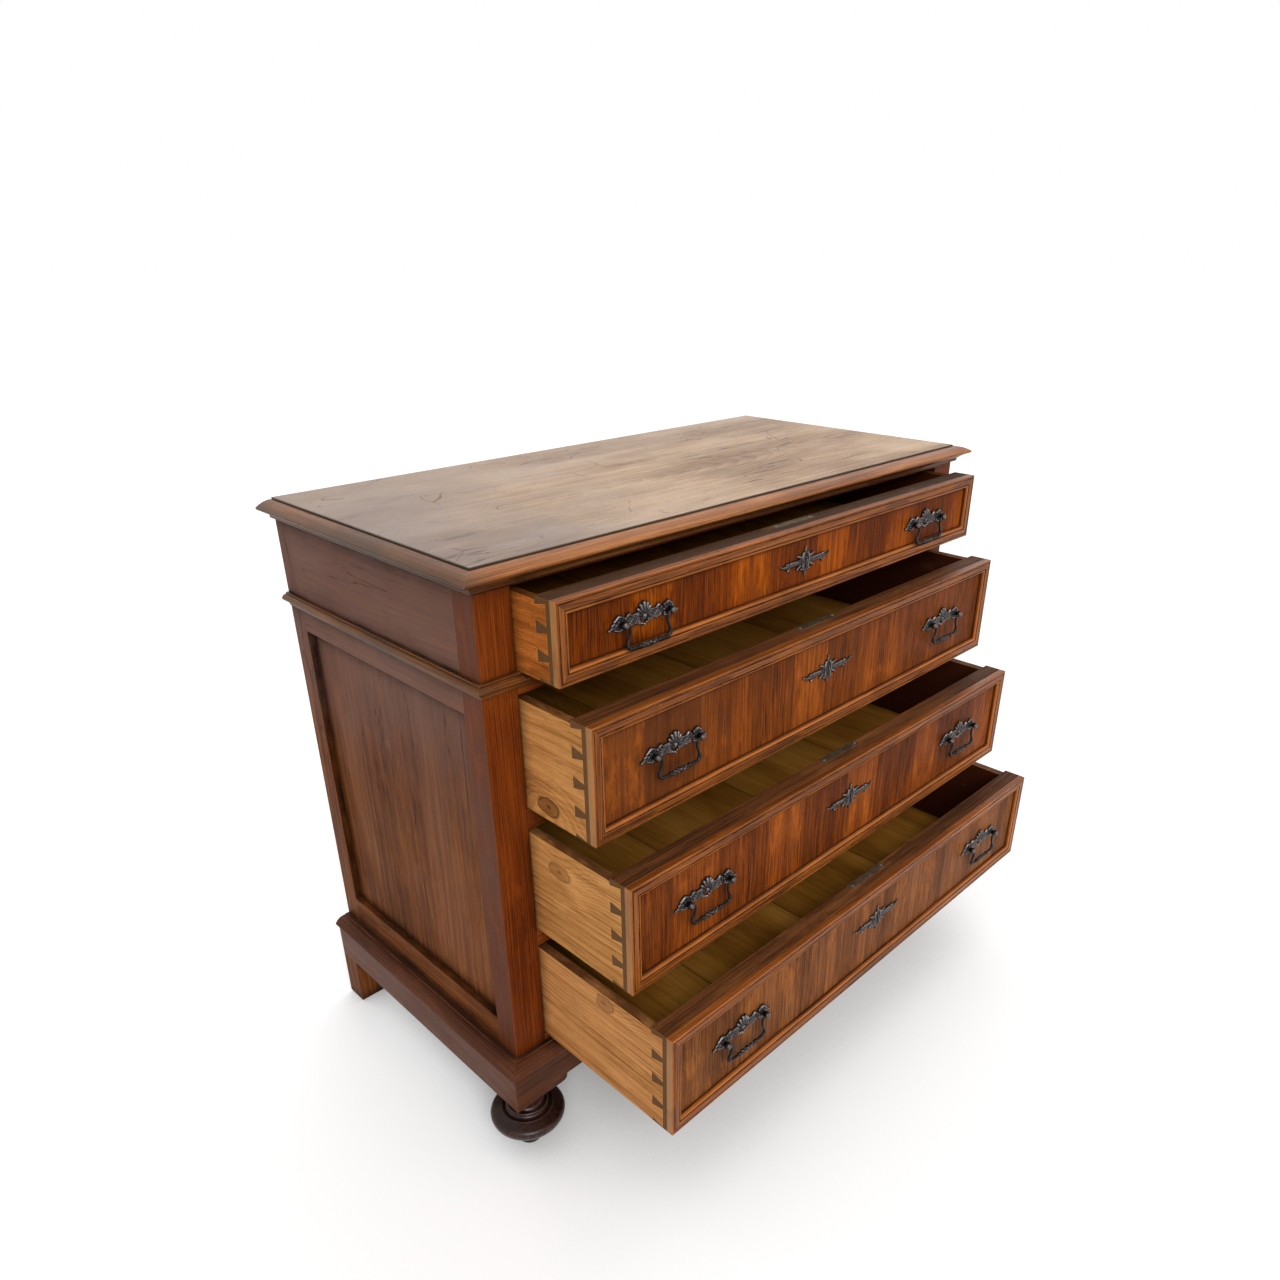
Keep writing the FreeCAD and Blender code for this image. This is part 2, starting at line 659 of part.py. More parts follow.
def front_frame(drawer):
    """Four mitred lengths of moulding planted round the drawer front."""
    half = FRONT_HALF
    width = FRAME_WIDTH
    low, high, face = drawer.low, drawer.high, drawer.front
    start = (0.0, 0.0)
    steps = frame_member_steps(width)
    deep = vec(0, FRAME_THICKNESS, 0)
    bottom = Part.Face(outline_wire(start, steps, lambda w, d: vec(-half, face + d, low + w)))
    top = Part.Face(outline_wire(start, steps, lambda w, d: vec(-half, face + d, high - w)))
    left = Part.Face(outline_wire(start, steps, lambda w, d: vec(-half + w, face + d, low)))
    low_inner, high_inner, inner = low + width, high - width, half - width
    bottom_plan = [vec(-half, face, low), vec(half, face, low),
                   vec(inner, face, low_inner), vec(-inner, face, low_inner)]
    top_plan = [vec(-half, face, high), vec(half, face, high),
                vec(inner, face, high_inner), vec(-inner, face, high_inner)]
    left_plan = [vec(-half, face, low), vec(-inner, face, low_inner),
                 vec(-inner, face, high_inner), vec(-half, face, high)]
    along = vec(2 * half, 0, 0)
    upright = left.extrude(vec(0, 0, high - low)).common(prism(left_plan, deep))
    return [bottom.extrude(along).common(prism(bottom_plan, deep)),
            top.extrude(along).common(prism(top_plan, deep))] + pair(upright)


def keyhole(drawer, depth_from, depth_to):
    """Round hole over a narrow slot, through whatever lies between two depths."""
    length = depth_to - depth_from
    level = drawer.key_level + KEY_RISE
    hole = Part.makeCylinder(KEY_RADIUS, length, vec(0, depth_from, level), vec(0, 1, 0))
    slot = box(-KEY_SLOT_WIDTH / 2, KEY_SLOT_WIDTH / 2, depth_from, depth_to,
               level - KEY_SLOT_LENGTH, level)
    return fuse([hole, slot])


def veneer_panel(drawer):
    """Veneered field inside the moulded frame."""
    inner = FRONT_HALF - FRAME_WIDTH
    field = box(-inner, inner, drawer.panel_front, drawer.core_front,
                drawer.low + FRAME_WIDTH, drawer.high - FRAME_WIDTH)
    return cut(field, [keyhole(drawer, drawer.panel_front, drawer.core_front)])


def lock_blocks(drawer):
    """Case let into the back of the front, and selvedge let into its top edge."""
    half = LOCK_WIDTH / 2
    under = drawer.high - SELVEDGE_THICKNESS
    case = box(-half, half, drawer.core_back - LOCK_DEPTH, drawer.core_back,
               drawer.key_level - LOCK_BELOW_KEY, under)
    selvedge = box(-SELVEDGE_LENGTH / 2, SELVEDGE_LENGTH / 2,
                   drawer.core_back - SELVEDGE_WIDTH, drawer.core_back, under, drawer.high)
    return fuse([case, selvedge])


def bolt_block(drawer, gap):
    """Square bolt, flush with the selvedge when drawn in; with a gap it is its own way."""
    middle = drawer.core_back - SELVEDGE_WIDTH / 2
    half_x = BOLT_WIDTH / 2 + gap
    half_y = BOLT_THICKNESS / 2 + gap
    return box(-half_x, half_x, middle - half_y, middle + half_y,
               drawer.high - BOLT_LENGTH - gap, drawer.high)


def lock(drawer):
    return cut(lock_blocks(drawer), [bolt_block(drawer, BOLT_GAP)])


def bottom_block(drawer):
    """Whole drawer bottom with its tongues; it also cuts the grooves."""
    half = FRONT_HALF - DRAWER_SIDE + BOTTOM_TONGUE
    return box(-half, half, drawer.core_back - BOTTOM_TONGUE, drawer.rear,
               drawer.bottom_low, drawer.bottom_high)


def bottom_boards(drawer):
    """The bottom, made of boards that run from front to back."""
    half = FRONT_HALF - DRAWER_SIDE + BOTTOM_TONGUE
    width = 2 * half / BOTTOM_BOARD_COUNT
    boards = []
    for index in range(BOTTOM_BOARD_COUNT):
        left = -half + index * width
        boards.append(box(left, left + width, drawer.core_back - BOTTOM_TONGUE, drawer.rear,
                          drawer.bottom_low, drawer.bottom_high))
    return boards


def front_core(drawer):
    """Solid front, with half-blind dovetail sockets, lock recess, keyhole and groove."""
    core = box(-FRONT_HALF, FRONT_HALF, drawer.core_front, drawer.core_back,
               drawer.low, drawer.high)
    tails = tail_blocks(drawer.core_back, drawer.core_front + LAP, drawer.low, drawer.side_high,
                        drawer.tails, PIN_FLARE)
    sockets = tails + [other_side(tail) for tail in tails]
    way = keyhole(drawer, drawer.core_front, drawer.core_back - LOCK_DEPTH)
    return cut(core, sockets + [lock_blocks(drawer), bottom_block(drawer), way])


def drawer_back(drawer):
    """Low back over the bottom boards, its pins between the tails of the sides."""
    low = drawer.bottom_high
    high = drawer.side_high - BACK_DROP
    back = box(-FRONT_HALF, FRONT_HALF, drawer.rear - DRAWER_BACK, drawer.rear, low, high)
    tails = tail_blocks(drawer.rear - DRAWER_BACK, drawer.rear, low, high, drawer.rear_tails,
                        REAR_PIN_FLARE)
    return cut(back, tails + [other_side(tail) for tail in tails])


def drawer_side(drawer, core, back):
    """Left side, dovetailed into the front and the back, and grooved for the bottom."""
    side = box(-FRONT_HALF, -FRONT_HALF + DRAWER_SIDE, drawer.core_front + LAP, drawer.rear,
               drawer.low, drawer.side_high)
    return cut(side, [core, back, bottom_block(drawer)])


# ---- fittings, each cast plate modelled once with its back on Y = 0 and then placed
def dome(across, up, radius, rise, depth):
    """Low dome standing on a plate, by the radius of its foot and its rise."""
    ball = (radius ** 2 + rise ** 2) / (2 * rise)
    latitude = math.degrees(math.asin((ball - rise) / ball))
    return Part.makeSphere(ball, vec(across, ball - rise - depth, up), vec(0, -1, 0),
                           latitude, 90, 360)


def cast_plate(outline, domes, half_width, thickness):
    """Plate with a symmetrical outline, and domes repeated on both of its sides."""
    start, steps = scaled(outline, lambda across, up: (across * half_width, up * half_width))
    wire = outline_wire(start, steps, lambda across, up: vec(across, 0, up))
    parts = pair(Part.Face(wire).extrude(vec(0, -thickness, 0)))
    for across, up, radius, rise in domes:
        raised = dome(across * half_width, up * half_width, radius * half_width,
                      rise * half_width, thickness)
        parts += pair(raised) if across > 0 else [raised]
    return fuse(parts)


def shell_rib(tip):
    """Tapered rib of the crest's shell, from its root to a rounded tip."""
    root = vec(RIB_ROOT[0] * PLATE_HALF_WIDTH, -RIB_DEPTH, RIB_ROOT[1] * PLATE_HALF_WIDTH)
    end = vec(tip[0] * PLATE_HALF_WIDTH, -RIB_DEPTH, tip[1] * PLATE_HALF_WIDTH)
    rib = Part.makeCone(RIB_ROOT_RADIUS, RIB_TIP_RADIUS, (end - root).Length, root, end - root)
    return fuse([rib, Part.makeSphere(RIB_TIP_RADIUS, end)])


def handle_boss(across):
    """Post with a collar and a ball end, drilled across for the bail's pivot."""
    forward = vec(0, -1, 0)
    foot = vec(across, 0, 0)
    collar = Part.makeCone(BOSS_COLLAR_RADIUS, BOSS_SHANK_RADIUS, BOSS_COLLAR_HEIGHT, foot, forward)
    shank = Part.makeCylinder(BOSS_SHANK_RADIUS, BOSS_STAND_OFF, foot, forward)
    ball = Part.makeSphere(BOSS_RADIUS, vec(across, -BOSS_STAND_OFF, 0))
    hole = Part.makeCylinder(BAIL_RADIUS + BAIL_HOLE_GAP, 4 * BOSS_RADIUS,
                             vec(across - 2 * BOSS_RADIUS, -BOSS_STAND_OFF, 0), vec(1, 0, 0))
    return cut(fuse([collar, shank, ball]), [hole])


def handle_plate():
    """Cast back plate: shell crest, end roses, pointed tips, a beaded drop and two bosses."""
    plate = cast_plate(PLATE_OUTLINE, PLATE_DOMES, PLATE_HALF_WIDTH, PLATE_THICKNESS)
    ribs = []
    for tip in RIB_TIPS:
        rib = shell_rib(tip)
        ribs += pair(rib) if tip[0] > 0 else [rib]
    return fuse([plate] + ribs + [handle_boss(-BOSS_OFFSET), handle_boss(BOSS_OFFSET)])


def bail_path(centre, drawer):
    """Centre line of a bail: pivot, flared arm, rounded corner, grip, and back up."""
    flare = math.radians(BAIL_FLARE_DEG)
    pivot = drawer.panel_front - BOSS_STAND_OFF
    corner = BAIL_CORNER
    arm = (BAIL_DROP - BAIL_FILLET - corner) / math.sin(flare) - corner
    half_turn = math.sqrt(0.5)

    def place(side, u, w):
        return vec(centre + side * u, pivot, drawer.handle_level + w)

    top = BAIL_ARM_OFFSET + BAIL_FILLET
    arm_end = (BAIL_ARM_OFFSET + arm * (1 - math.cos(flare)), -BAIL_FILLET - arm * math.sin(flare))
    arm_mid = (BAIL_ARM_OFFSET + arm * (1 - math.cos(flare / 2)),
               -BAIL_FILLET - arm * math.sin(flare / 2))
    centre_u = arm_end[0] - corner * math.cos(flare)
    turn = (math.pi / 2 - flare) / 2
    corner_mid = (centre_u + corner * math.cos(turn), -BAIL_DROP + corner - corner * math.sin(turn))
    edges = []
    for side in (1, -1):
        run = [Part.LineSegment(place(side, BOSS_OFFSET + BOSS_RADIUS, 0), place(side, top, 0)),
               Part.Arc(place(side, top, 0),
                        place(side, top - BAIL_FILLET * half_turn, -BAIL_FILLET * (1 - half_turn)),
                        place(side, BAIL_ARM_OFFSET, -BAIL_FILLET)),
               Part.Arc(place(side, BAIL_ARM_OFFSET, -BAIL_FILLET), place(side, *arm_mid),
                        place(side, *arm_end)),
               Part.Arc(place(side, *arm_end), place(side, *corner_mid),
                        place(side, centre_u, -BAIL_DROP))]
        edges += [piece.toShape() for piece in run]
    edges.append(Part.LineSegment(place(1, centre_u, -BAIL_DROP),
                                  place(-1, centre_u, -BAIL_DROP)).toShape())
    return Part.Wire(Part.__sortEdges__(edges))


def grip(centre, drawer):
    """Turned swelling at the middle of the bail, with a bead at each end."""
    pivot = drawer.panel_front - BOSS_STAND_OFF
    level = drawer.handle_level - BAIL_DROP
    half = GRIP_HALF_LENGTH
    bead = half - GRIP_BEAD_LENGTH / 2
    neck = half - GRIP_BEAD_LENGTH
    steps = [((-half, BAIL_RADIUS),),
             ((-bead, GRIP_BEAD_RADIUS), (-neck, GRIP_NECK_RADIUS)),
             ((0.0, GRIP_RADIUS), (neck, GRIP_NECK_RADIUS)),
             ((bead, GRIP_BEAD_RADIUS), (half, BAIL_RADIUS)),
             ((half, 0.0),)]
    wire = outline_wire((-half, 0.0), steps, lambda u, r: vec(centre + u, pivot - r, level))
    return Part.Face(wire).revolve(vec(centre, pivot, level), vec(1, 0, 0), 360)


def bail(centre, drawer):
    """Swinging pull of a handle, bent from round bar."""
    path = bail_path(centre, drawer)
    end = path.OrderedVertexes[0].Point
    ring = Part.Wire(Part.makeCircle(BAIL_RADIUS, end, vec(1, 0, 0)))
    rod = path.makePipeShell([ring], True, False)
    return fuse([rod, grip(centre, drawer)])


def placed(plate, x, drawer, level):
    """Copy of a cast plate, set on the veneered field of a drawer."""
    copy = plate.copy()
    copy.translate(vec(x, drawer.panel_front, level))
    return copy


def escutcheon(blank, drawer):
    """Pierced keyhole plate: shield with a spike above and below, and leafy arms."""
    plate = placed(blank, 0, drawer, drawer.key_level)
    front = plate.BoundBox.YMin
    return cut(plate, [keyhole(drawer, front, drawer.panel_front)])


def save_carcase():
    save("top_board", [top_board()])
    save("top_moulding", top_moulding())
    save("waist_moulding", waist_moulding())
    save("front_rails", front_rails())
    save("front_posts", pair(front_post()))
    save("rear_stiles", pair(rear_stile()))
    rails = side_rails()
    save("side_rails", rails + [other_side(rail) for rail in rails])
    save("side_panels", pair(side_panel_block(PANEL_PLAY)))
    runners = drawer_runners()
    save("drawer_runners", runners + [other_side(runner) for runner in runners])
    save("back_rails", back_rails())
    save("back_boards", back_boards())
    save("plinth_boards", plinth_boards())
    save("plinth_moulding", plinth_moulding())
    save("plinth_blocks", pair(plinth_block()))
    save("bun_feet", pair(bun_foot()))
    save("rear_legs", pair(rear_leg()))


def save_drawer(index, handle, blank):
    drawer = Drawer(index)
    core = front_core(drawer)
    back = drawer_back(drawer)
    save(drawer.name + "front_core", [core])
    save(drawer.name + "front_frame", front_frame(drawer))
    save(drawer.name + "veneer_panel", [veneer_panel(drawer)])
    save(drawer.name + "sides_and_back", pair(drawer_side(drawer, core, back)) + [back])
    save(drawer.name + "bottom", bottom_boards(drawer))
    save(drawer.name + "lock", [lock(drawer)])
    save(drawer.name + "lock_bolt", [bolt_block(drawer, 0)])
    save(drawer.name + "escutcheon", [escutcheon(blank, drawer)])
    save(drawer.name + "handle_plates",
         [placed(handle, x, drawer, drawer.handle_level) for x in (-HANDLE_OFFSET, HANDLE_OFFSET)])
    save(drawer.name + "bail_left", [bail(-HANDLE_OFFSET, drawer)])
    save(drawer.name + "bail_right", [bail(HANDLE_OFFSET, drawer)])


os.makedirs("parts", exist_ok=True)
save_carcase()
cast_handle = handle_plate()
cast_blank = cast_plate(ESCUTCHEON_OUTLINE, ESCUTCHEON_DOMES, ESCUTCHEON_HALF_WIDTH,
                        ESCUTCHEON_THICKNESS)
for drawer_index in range(DRAWER_COUNT):
    save_drawer(drawer_index, cast_handle, cast_blank)
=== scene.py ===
import math

import bpy
import numpy as np
from mathutils import Matrix, Vector


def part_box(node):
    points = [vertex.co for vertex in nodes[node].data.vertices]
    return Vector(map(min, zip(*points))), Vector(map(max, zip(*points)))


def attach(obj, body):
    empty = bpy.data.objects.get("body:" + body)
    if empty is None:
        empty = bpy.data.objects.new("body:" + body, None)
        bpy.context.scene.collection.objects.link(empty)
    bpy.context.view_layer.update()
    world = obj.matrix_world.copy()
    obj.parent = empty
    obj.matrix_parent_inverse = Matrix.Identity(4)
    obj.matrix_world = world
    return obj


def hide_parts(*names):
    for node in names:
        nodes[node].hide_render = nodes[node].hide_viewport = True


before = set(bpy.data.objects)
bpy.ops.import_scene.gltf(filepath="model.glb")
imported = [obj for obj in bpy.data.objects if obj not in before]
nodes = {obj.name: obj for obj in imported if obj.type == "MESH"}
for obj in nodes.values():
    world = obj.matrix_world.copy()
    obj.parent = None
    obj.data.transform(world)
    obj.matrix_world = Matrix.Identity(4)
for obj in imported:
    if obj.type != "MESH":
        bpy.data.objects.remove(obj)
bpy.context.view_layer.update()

# ---- sizes that the looks follow, in metres: x across, y to the back, z up
POST_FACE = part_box("front_posts")[0].y
BODY_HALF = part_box("front_posts")[1].x
DRAWERS = ("drawer_1", "drawer_2", "drawer_3", "drawer_4")
MM = 0.001


# ---- node trees
class Graph:
    """Node tree of a material or world; each call adds to it and returns an output socket."""

    def __init__(self, owner):
        self.owner = owner
        owner.use_nodes = True
        self.tree = owner.node_tree
        self.tree.nodes.clear()

    def add(self, kind, values=(), out=0, **settings):
        """Add a shader node; values are its inputs, by name or number, and settings its fields."""
        node = self.tree.nodes.new("ShaderNode" + kind)
        for key, value in settings.items():
            setattr(node, key, value)
        for key, value in dict(values).items():
            if isinstance(value, bpy.types.NodeSocket):
                self.tree.links.new(value, node.inputs[key])
            else:
                node.inputs[key].default_value = value
        return node.outputs[out]

    def math(self, operation, a, b=0.0, clamp=False):
        return self.add("Math", {0: a, 1: b}, operation=operation, use_clamp=clamp)

    def total(self, first, *rest):
        """The sum of the values."""
        for value in rest:
            first = self.math("ADD", first, value)
        return first

    def product(self, first, *rest):
        """The product of the values."""
        for value in rest:
            first = self.math("MULTIPLY", first, value)
        return first

    def vector(self, operation, a, b=(0, 0, 0)):
        return self.add("VectorMath", {0: a, 1: b}, operation=operation)

    def parts(self, vector):
        """The three components of a vector."""
        return self.add("SeparateXYZ", {0: vector}).node.outputs

    def join(self, x, y, z):
        return self.add("CombineXYZ", {0: x, 1: y, 2: z})

    def noise(self, place, scale, detail=3.0, roughness=0.55, colour=False):
        """Noise with its own scale along each axis; as a colour it gives three values."""
        moved = self.vector("MULTIPLY", place, scale)
        return self.add("TexNoise", {"Vector": moved, "Scale": 1.0, "Detail": detail,
                                     "Roughness": roughness}, out=1 if colour else 0)

    def span(self, value, low, high, to_low=0.0, to_high=1.0):
        """Smooth step from to_low, where the value is low, to to_high, where it is high."""
        return self.add("MapRange", {0: value, 1: low, 2: high, 3: to_low, 4: to_high},
                        interpolation_type="SMOOTHSTEP")

    def near(self, value, target, width):
        """1 where the value is at the target, falling to 0 at the width."""
        return self.span(self.math("ABSOLUTE", self.math("SUBTRACT", value, target)), width, 0.0)

    def mix(self, share, first, second):
        """Colour that goes from the first to the second as the share goes from 0 to 1."""
        node = self.tree.nodes.new("ShaderNodeMix")
        node.data_type = "RGBA"
        factor, colour_a, colour_b, result = 0, 6, 7, 2
        for key, value in ((factor, share), (colour_a, first), (colour_b, second)):
            if isinstance(value, bpy.types.NodeSocket):
                self.tree.links.new(value, node.inputs[key])
            else:
                node.inputs[key].default_value = value if key == factor else (*value[:3], 1.0)
        return node.outputs[result]

    def ramp(self, value, stops):
        """Colour read off a ramp; stops are (place, colour)."""
        node = self.tree.nodes.new("ShaderNodeValToRGB")
        self.tree.links.new(value, node.inputs[0])
        ends = node.color_ramp.elements
        while len(ends) < len(stops):
            ends.new(0.5)
        for end, (place, colour) in zip(ends, stops):
            end.position = place
            end.color = (*colour, 1.0)
        return node.outputs[0]

    def direct(self):
        """1 for rays that show something to the camera, straight, mirrored or through glass."""
        seen = self.add("LightPath").node.outputs
        return self.math("MAXIMUM", seen["Is Camera Ray"],
                         self.math("MAXIMUM", seen["Is Glossy Ray"], seen["Is Transmission Ray"]))

    def finish(self, surface):
        """Use the shader as the surface, and return the material or world."""
        kind = "World" if isinstance(self.owner, bpy.types.World) else "Material"
        out = self.tree.nodes.new("ShaderNodeOutput" + kind)
        self.tree.links.new(surface, out.inputs["Surface"])
        return self.owner


def srgb(red, green, blue):
    """Linear colour from the 0 to 255 numbers of a paint card."""
    return tuple((c / 255 / 12.92) if c <= 10 else ((c / 255 + 0.055) / 1.055) ** 2.4
                 for c in (red, green, blue))


def shaded(colour, factor):
    """The colour made darker or lighter by a factor."""
    return tuple(min(1.0, c * factor) for c in colour)


MIDDLE = (0.5, 0.5, 0.5)  # the mean of a noise colour
GLUE_LINE = 0.0007  # half width of the dark line between two leaves of veneer
SOFT_EDGE = 0.0016  # wood is shaded as if its edges were rounded by this much
CORNER_REACH = 0.03  # dirt and painted shade reach this far out of a corner
GRAIN_DEPTH = 0.0006
SEAM_LINE, SEAM_SHADE = (0.0016, 0.0008), 0.02  # dark joint between boards, and its shade
KNOT_RIM, KNOT_HEART = 0.11, 0.05  # radii of a knot, in cells of the knot pattern


def leaves(g, place, width):
    """Veneer leaves side by side, each pair opened like a book."""
    split = g.parts(place)
    across = g.math("PINGPONG", split[1], width)
    pair = g.math("FLOOR", g.math("DIVIDE", split[1], 2 * width))
    leaf = g.math("FLOOR", g.math("DIVIDE", split[1], width))
    chance = g.add("TexWhiteNoise", {1: pair}, noise_dimensions="1D")
    along = g.total(split[0], 0.28, g.product(chance, 0.24), g.product(leaf, 0.004))
    depth = g.total(split[2], g.product(g.math("FRACT", g.product(chance, 7.0)), 0.03))
    joint = g.math("MAXIMUM", g.near(across, 0.0, GLUE_LINE), g.near(across, width, GLUE_LINE))
    tint = g.add("TexWhiteNoise", {1: leaf}, noise_dimensions="1D")
    return g.join(along, across, depth), joint, tint


def bend(g, place, curl):
    """The plank coordinates, bent so that no line of the grain is straight."""
    drift = g.vector("SUBTRACT", g.noise(place, (0.9, 3.5, 3.5), 2.0, 0.5, colour=True), MIDDLE)
    drift = g.vector("MULTIPLY", drift, (0.0, curl, curl))
    wobble = g.vector("SUBTRACT", g.noise(place, (9.0, 45.0, 45.0), 3.0, 0.6, colour=True),
                      MIDDLE)
    wobble = g.vector("MULTIPLY", wobble, (0.0, 0.003, 0.003))
    return g.vector("ADD", g.vector("ADD", place, drift), wobble)


def scatter_knots(g, place, share):
    """Distance from the nearest spot for a knot, and 1 where that spot does have one."""
    flat = g.parts(place)
    spot = g.join(g.product(flat[0], 3.9), g.product(g.total(flat[1], flat[2]), 6.5), 0.0)
    cell = g.add("TexVoronoi", {"Vector": spot, "Scale": 1.0}, voronoi_dimensions="2D")
    outputs = cell.node.outputs
    rare = 1.0 - 0.6 * share
    chosen = g.span(g.parts(outputs["Color"])[0], rare, rare + 0.04)
    ripple = g.product(g.noise(place, (60.0, 60.0, 60.0), 2.0), 0.05)
    return g.math("ADD", outputs["Distance"], ripple), chosen


def growth_rings(g, bent, density, taper, knot):
    """Rings round the heart of the tree, crowded round the knots; 1 in the late wood."""
    split = g.parts(bent)
    rise = g.product(g.math("SUBTRACT", g.math("PINGPONG", split[0], 0.8), 0.4), taper)
    depth = g.math("ADD", split[2], rise)
    radius = g.math("SQRT", g.math("ADD", g.math("POWER", split[1], 2.0),
                                   g.math("POWER", depth, 2.0)))
    if knot:
        away, chosen = knot
        radius = g.math("ADD", radius, g.product(g.span(away, 0.42, 0.03), chosen, 0.02))
    spacing = g.noise(g.join(radius, 0.0, 0.0), (22.0, 1, 1), 2.0)
    phase = g.product(g.math("ADD", radius, g.math("MULTIPLY", spacing, 0.012)), density)
    saw = g.math("FRACT", phase)
    return g.product(g.math("POWER", saw, 2.2), g.span(saw, 1.0, 0.93))


def scratches(g, where):
    """Thin, broken and bowed lines."""
    bow = g.vector("MULTIPLY", g.noise(where, (3.0, 3.0, 3.0), 2.0, colour=True), (1.6, 1.6, 1.6))
    bowed = g.vector("ADD", g.vector("MULTIPLY", where, (7.0, 7.0, 7.0)), bow)
    web = g.add("TexVoronoi", {"Vector": bowed, "Scale": 1.0}, feature="DISTANCE_TO_EDGE")
    broken = g.span(g.noise(where, (11.0, 11.0, 11.0), 3.0), 0.55, 0.6)
    return g.product(g.span(web, 0.012, 0.0), broken)


def near_rim(g, where, centre, half, width):
    """1 along the front and side edges of a board of the given centre and half size."""
    beside = g.parts(g.vector("SUBTRACT", where, centre))
    to_side = g.math("SUBTRACT", g.math("ABSOLUTE", beside[0]), half[0] - width)
    to_front = g.math("SUBTRACT", g.math("MULTIPLY", beside[1], -1.0), half[1] - width)
    return g.span(g.math("MAXIMUM", to_side, to_front), 0.0, width * 0.4)


def sharpness(g, radius):
    """The rounded normal, and a value that falls below 1 on sharp edges."""
    soft = g.add("Bevel", {"Radius": radius}, samples=5)
    true = g.add("NewGeometry", out=1)
    return soft, g.vector("DOT_PRODUCT", soft, true).node.outputs[1]


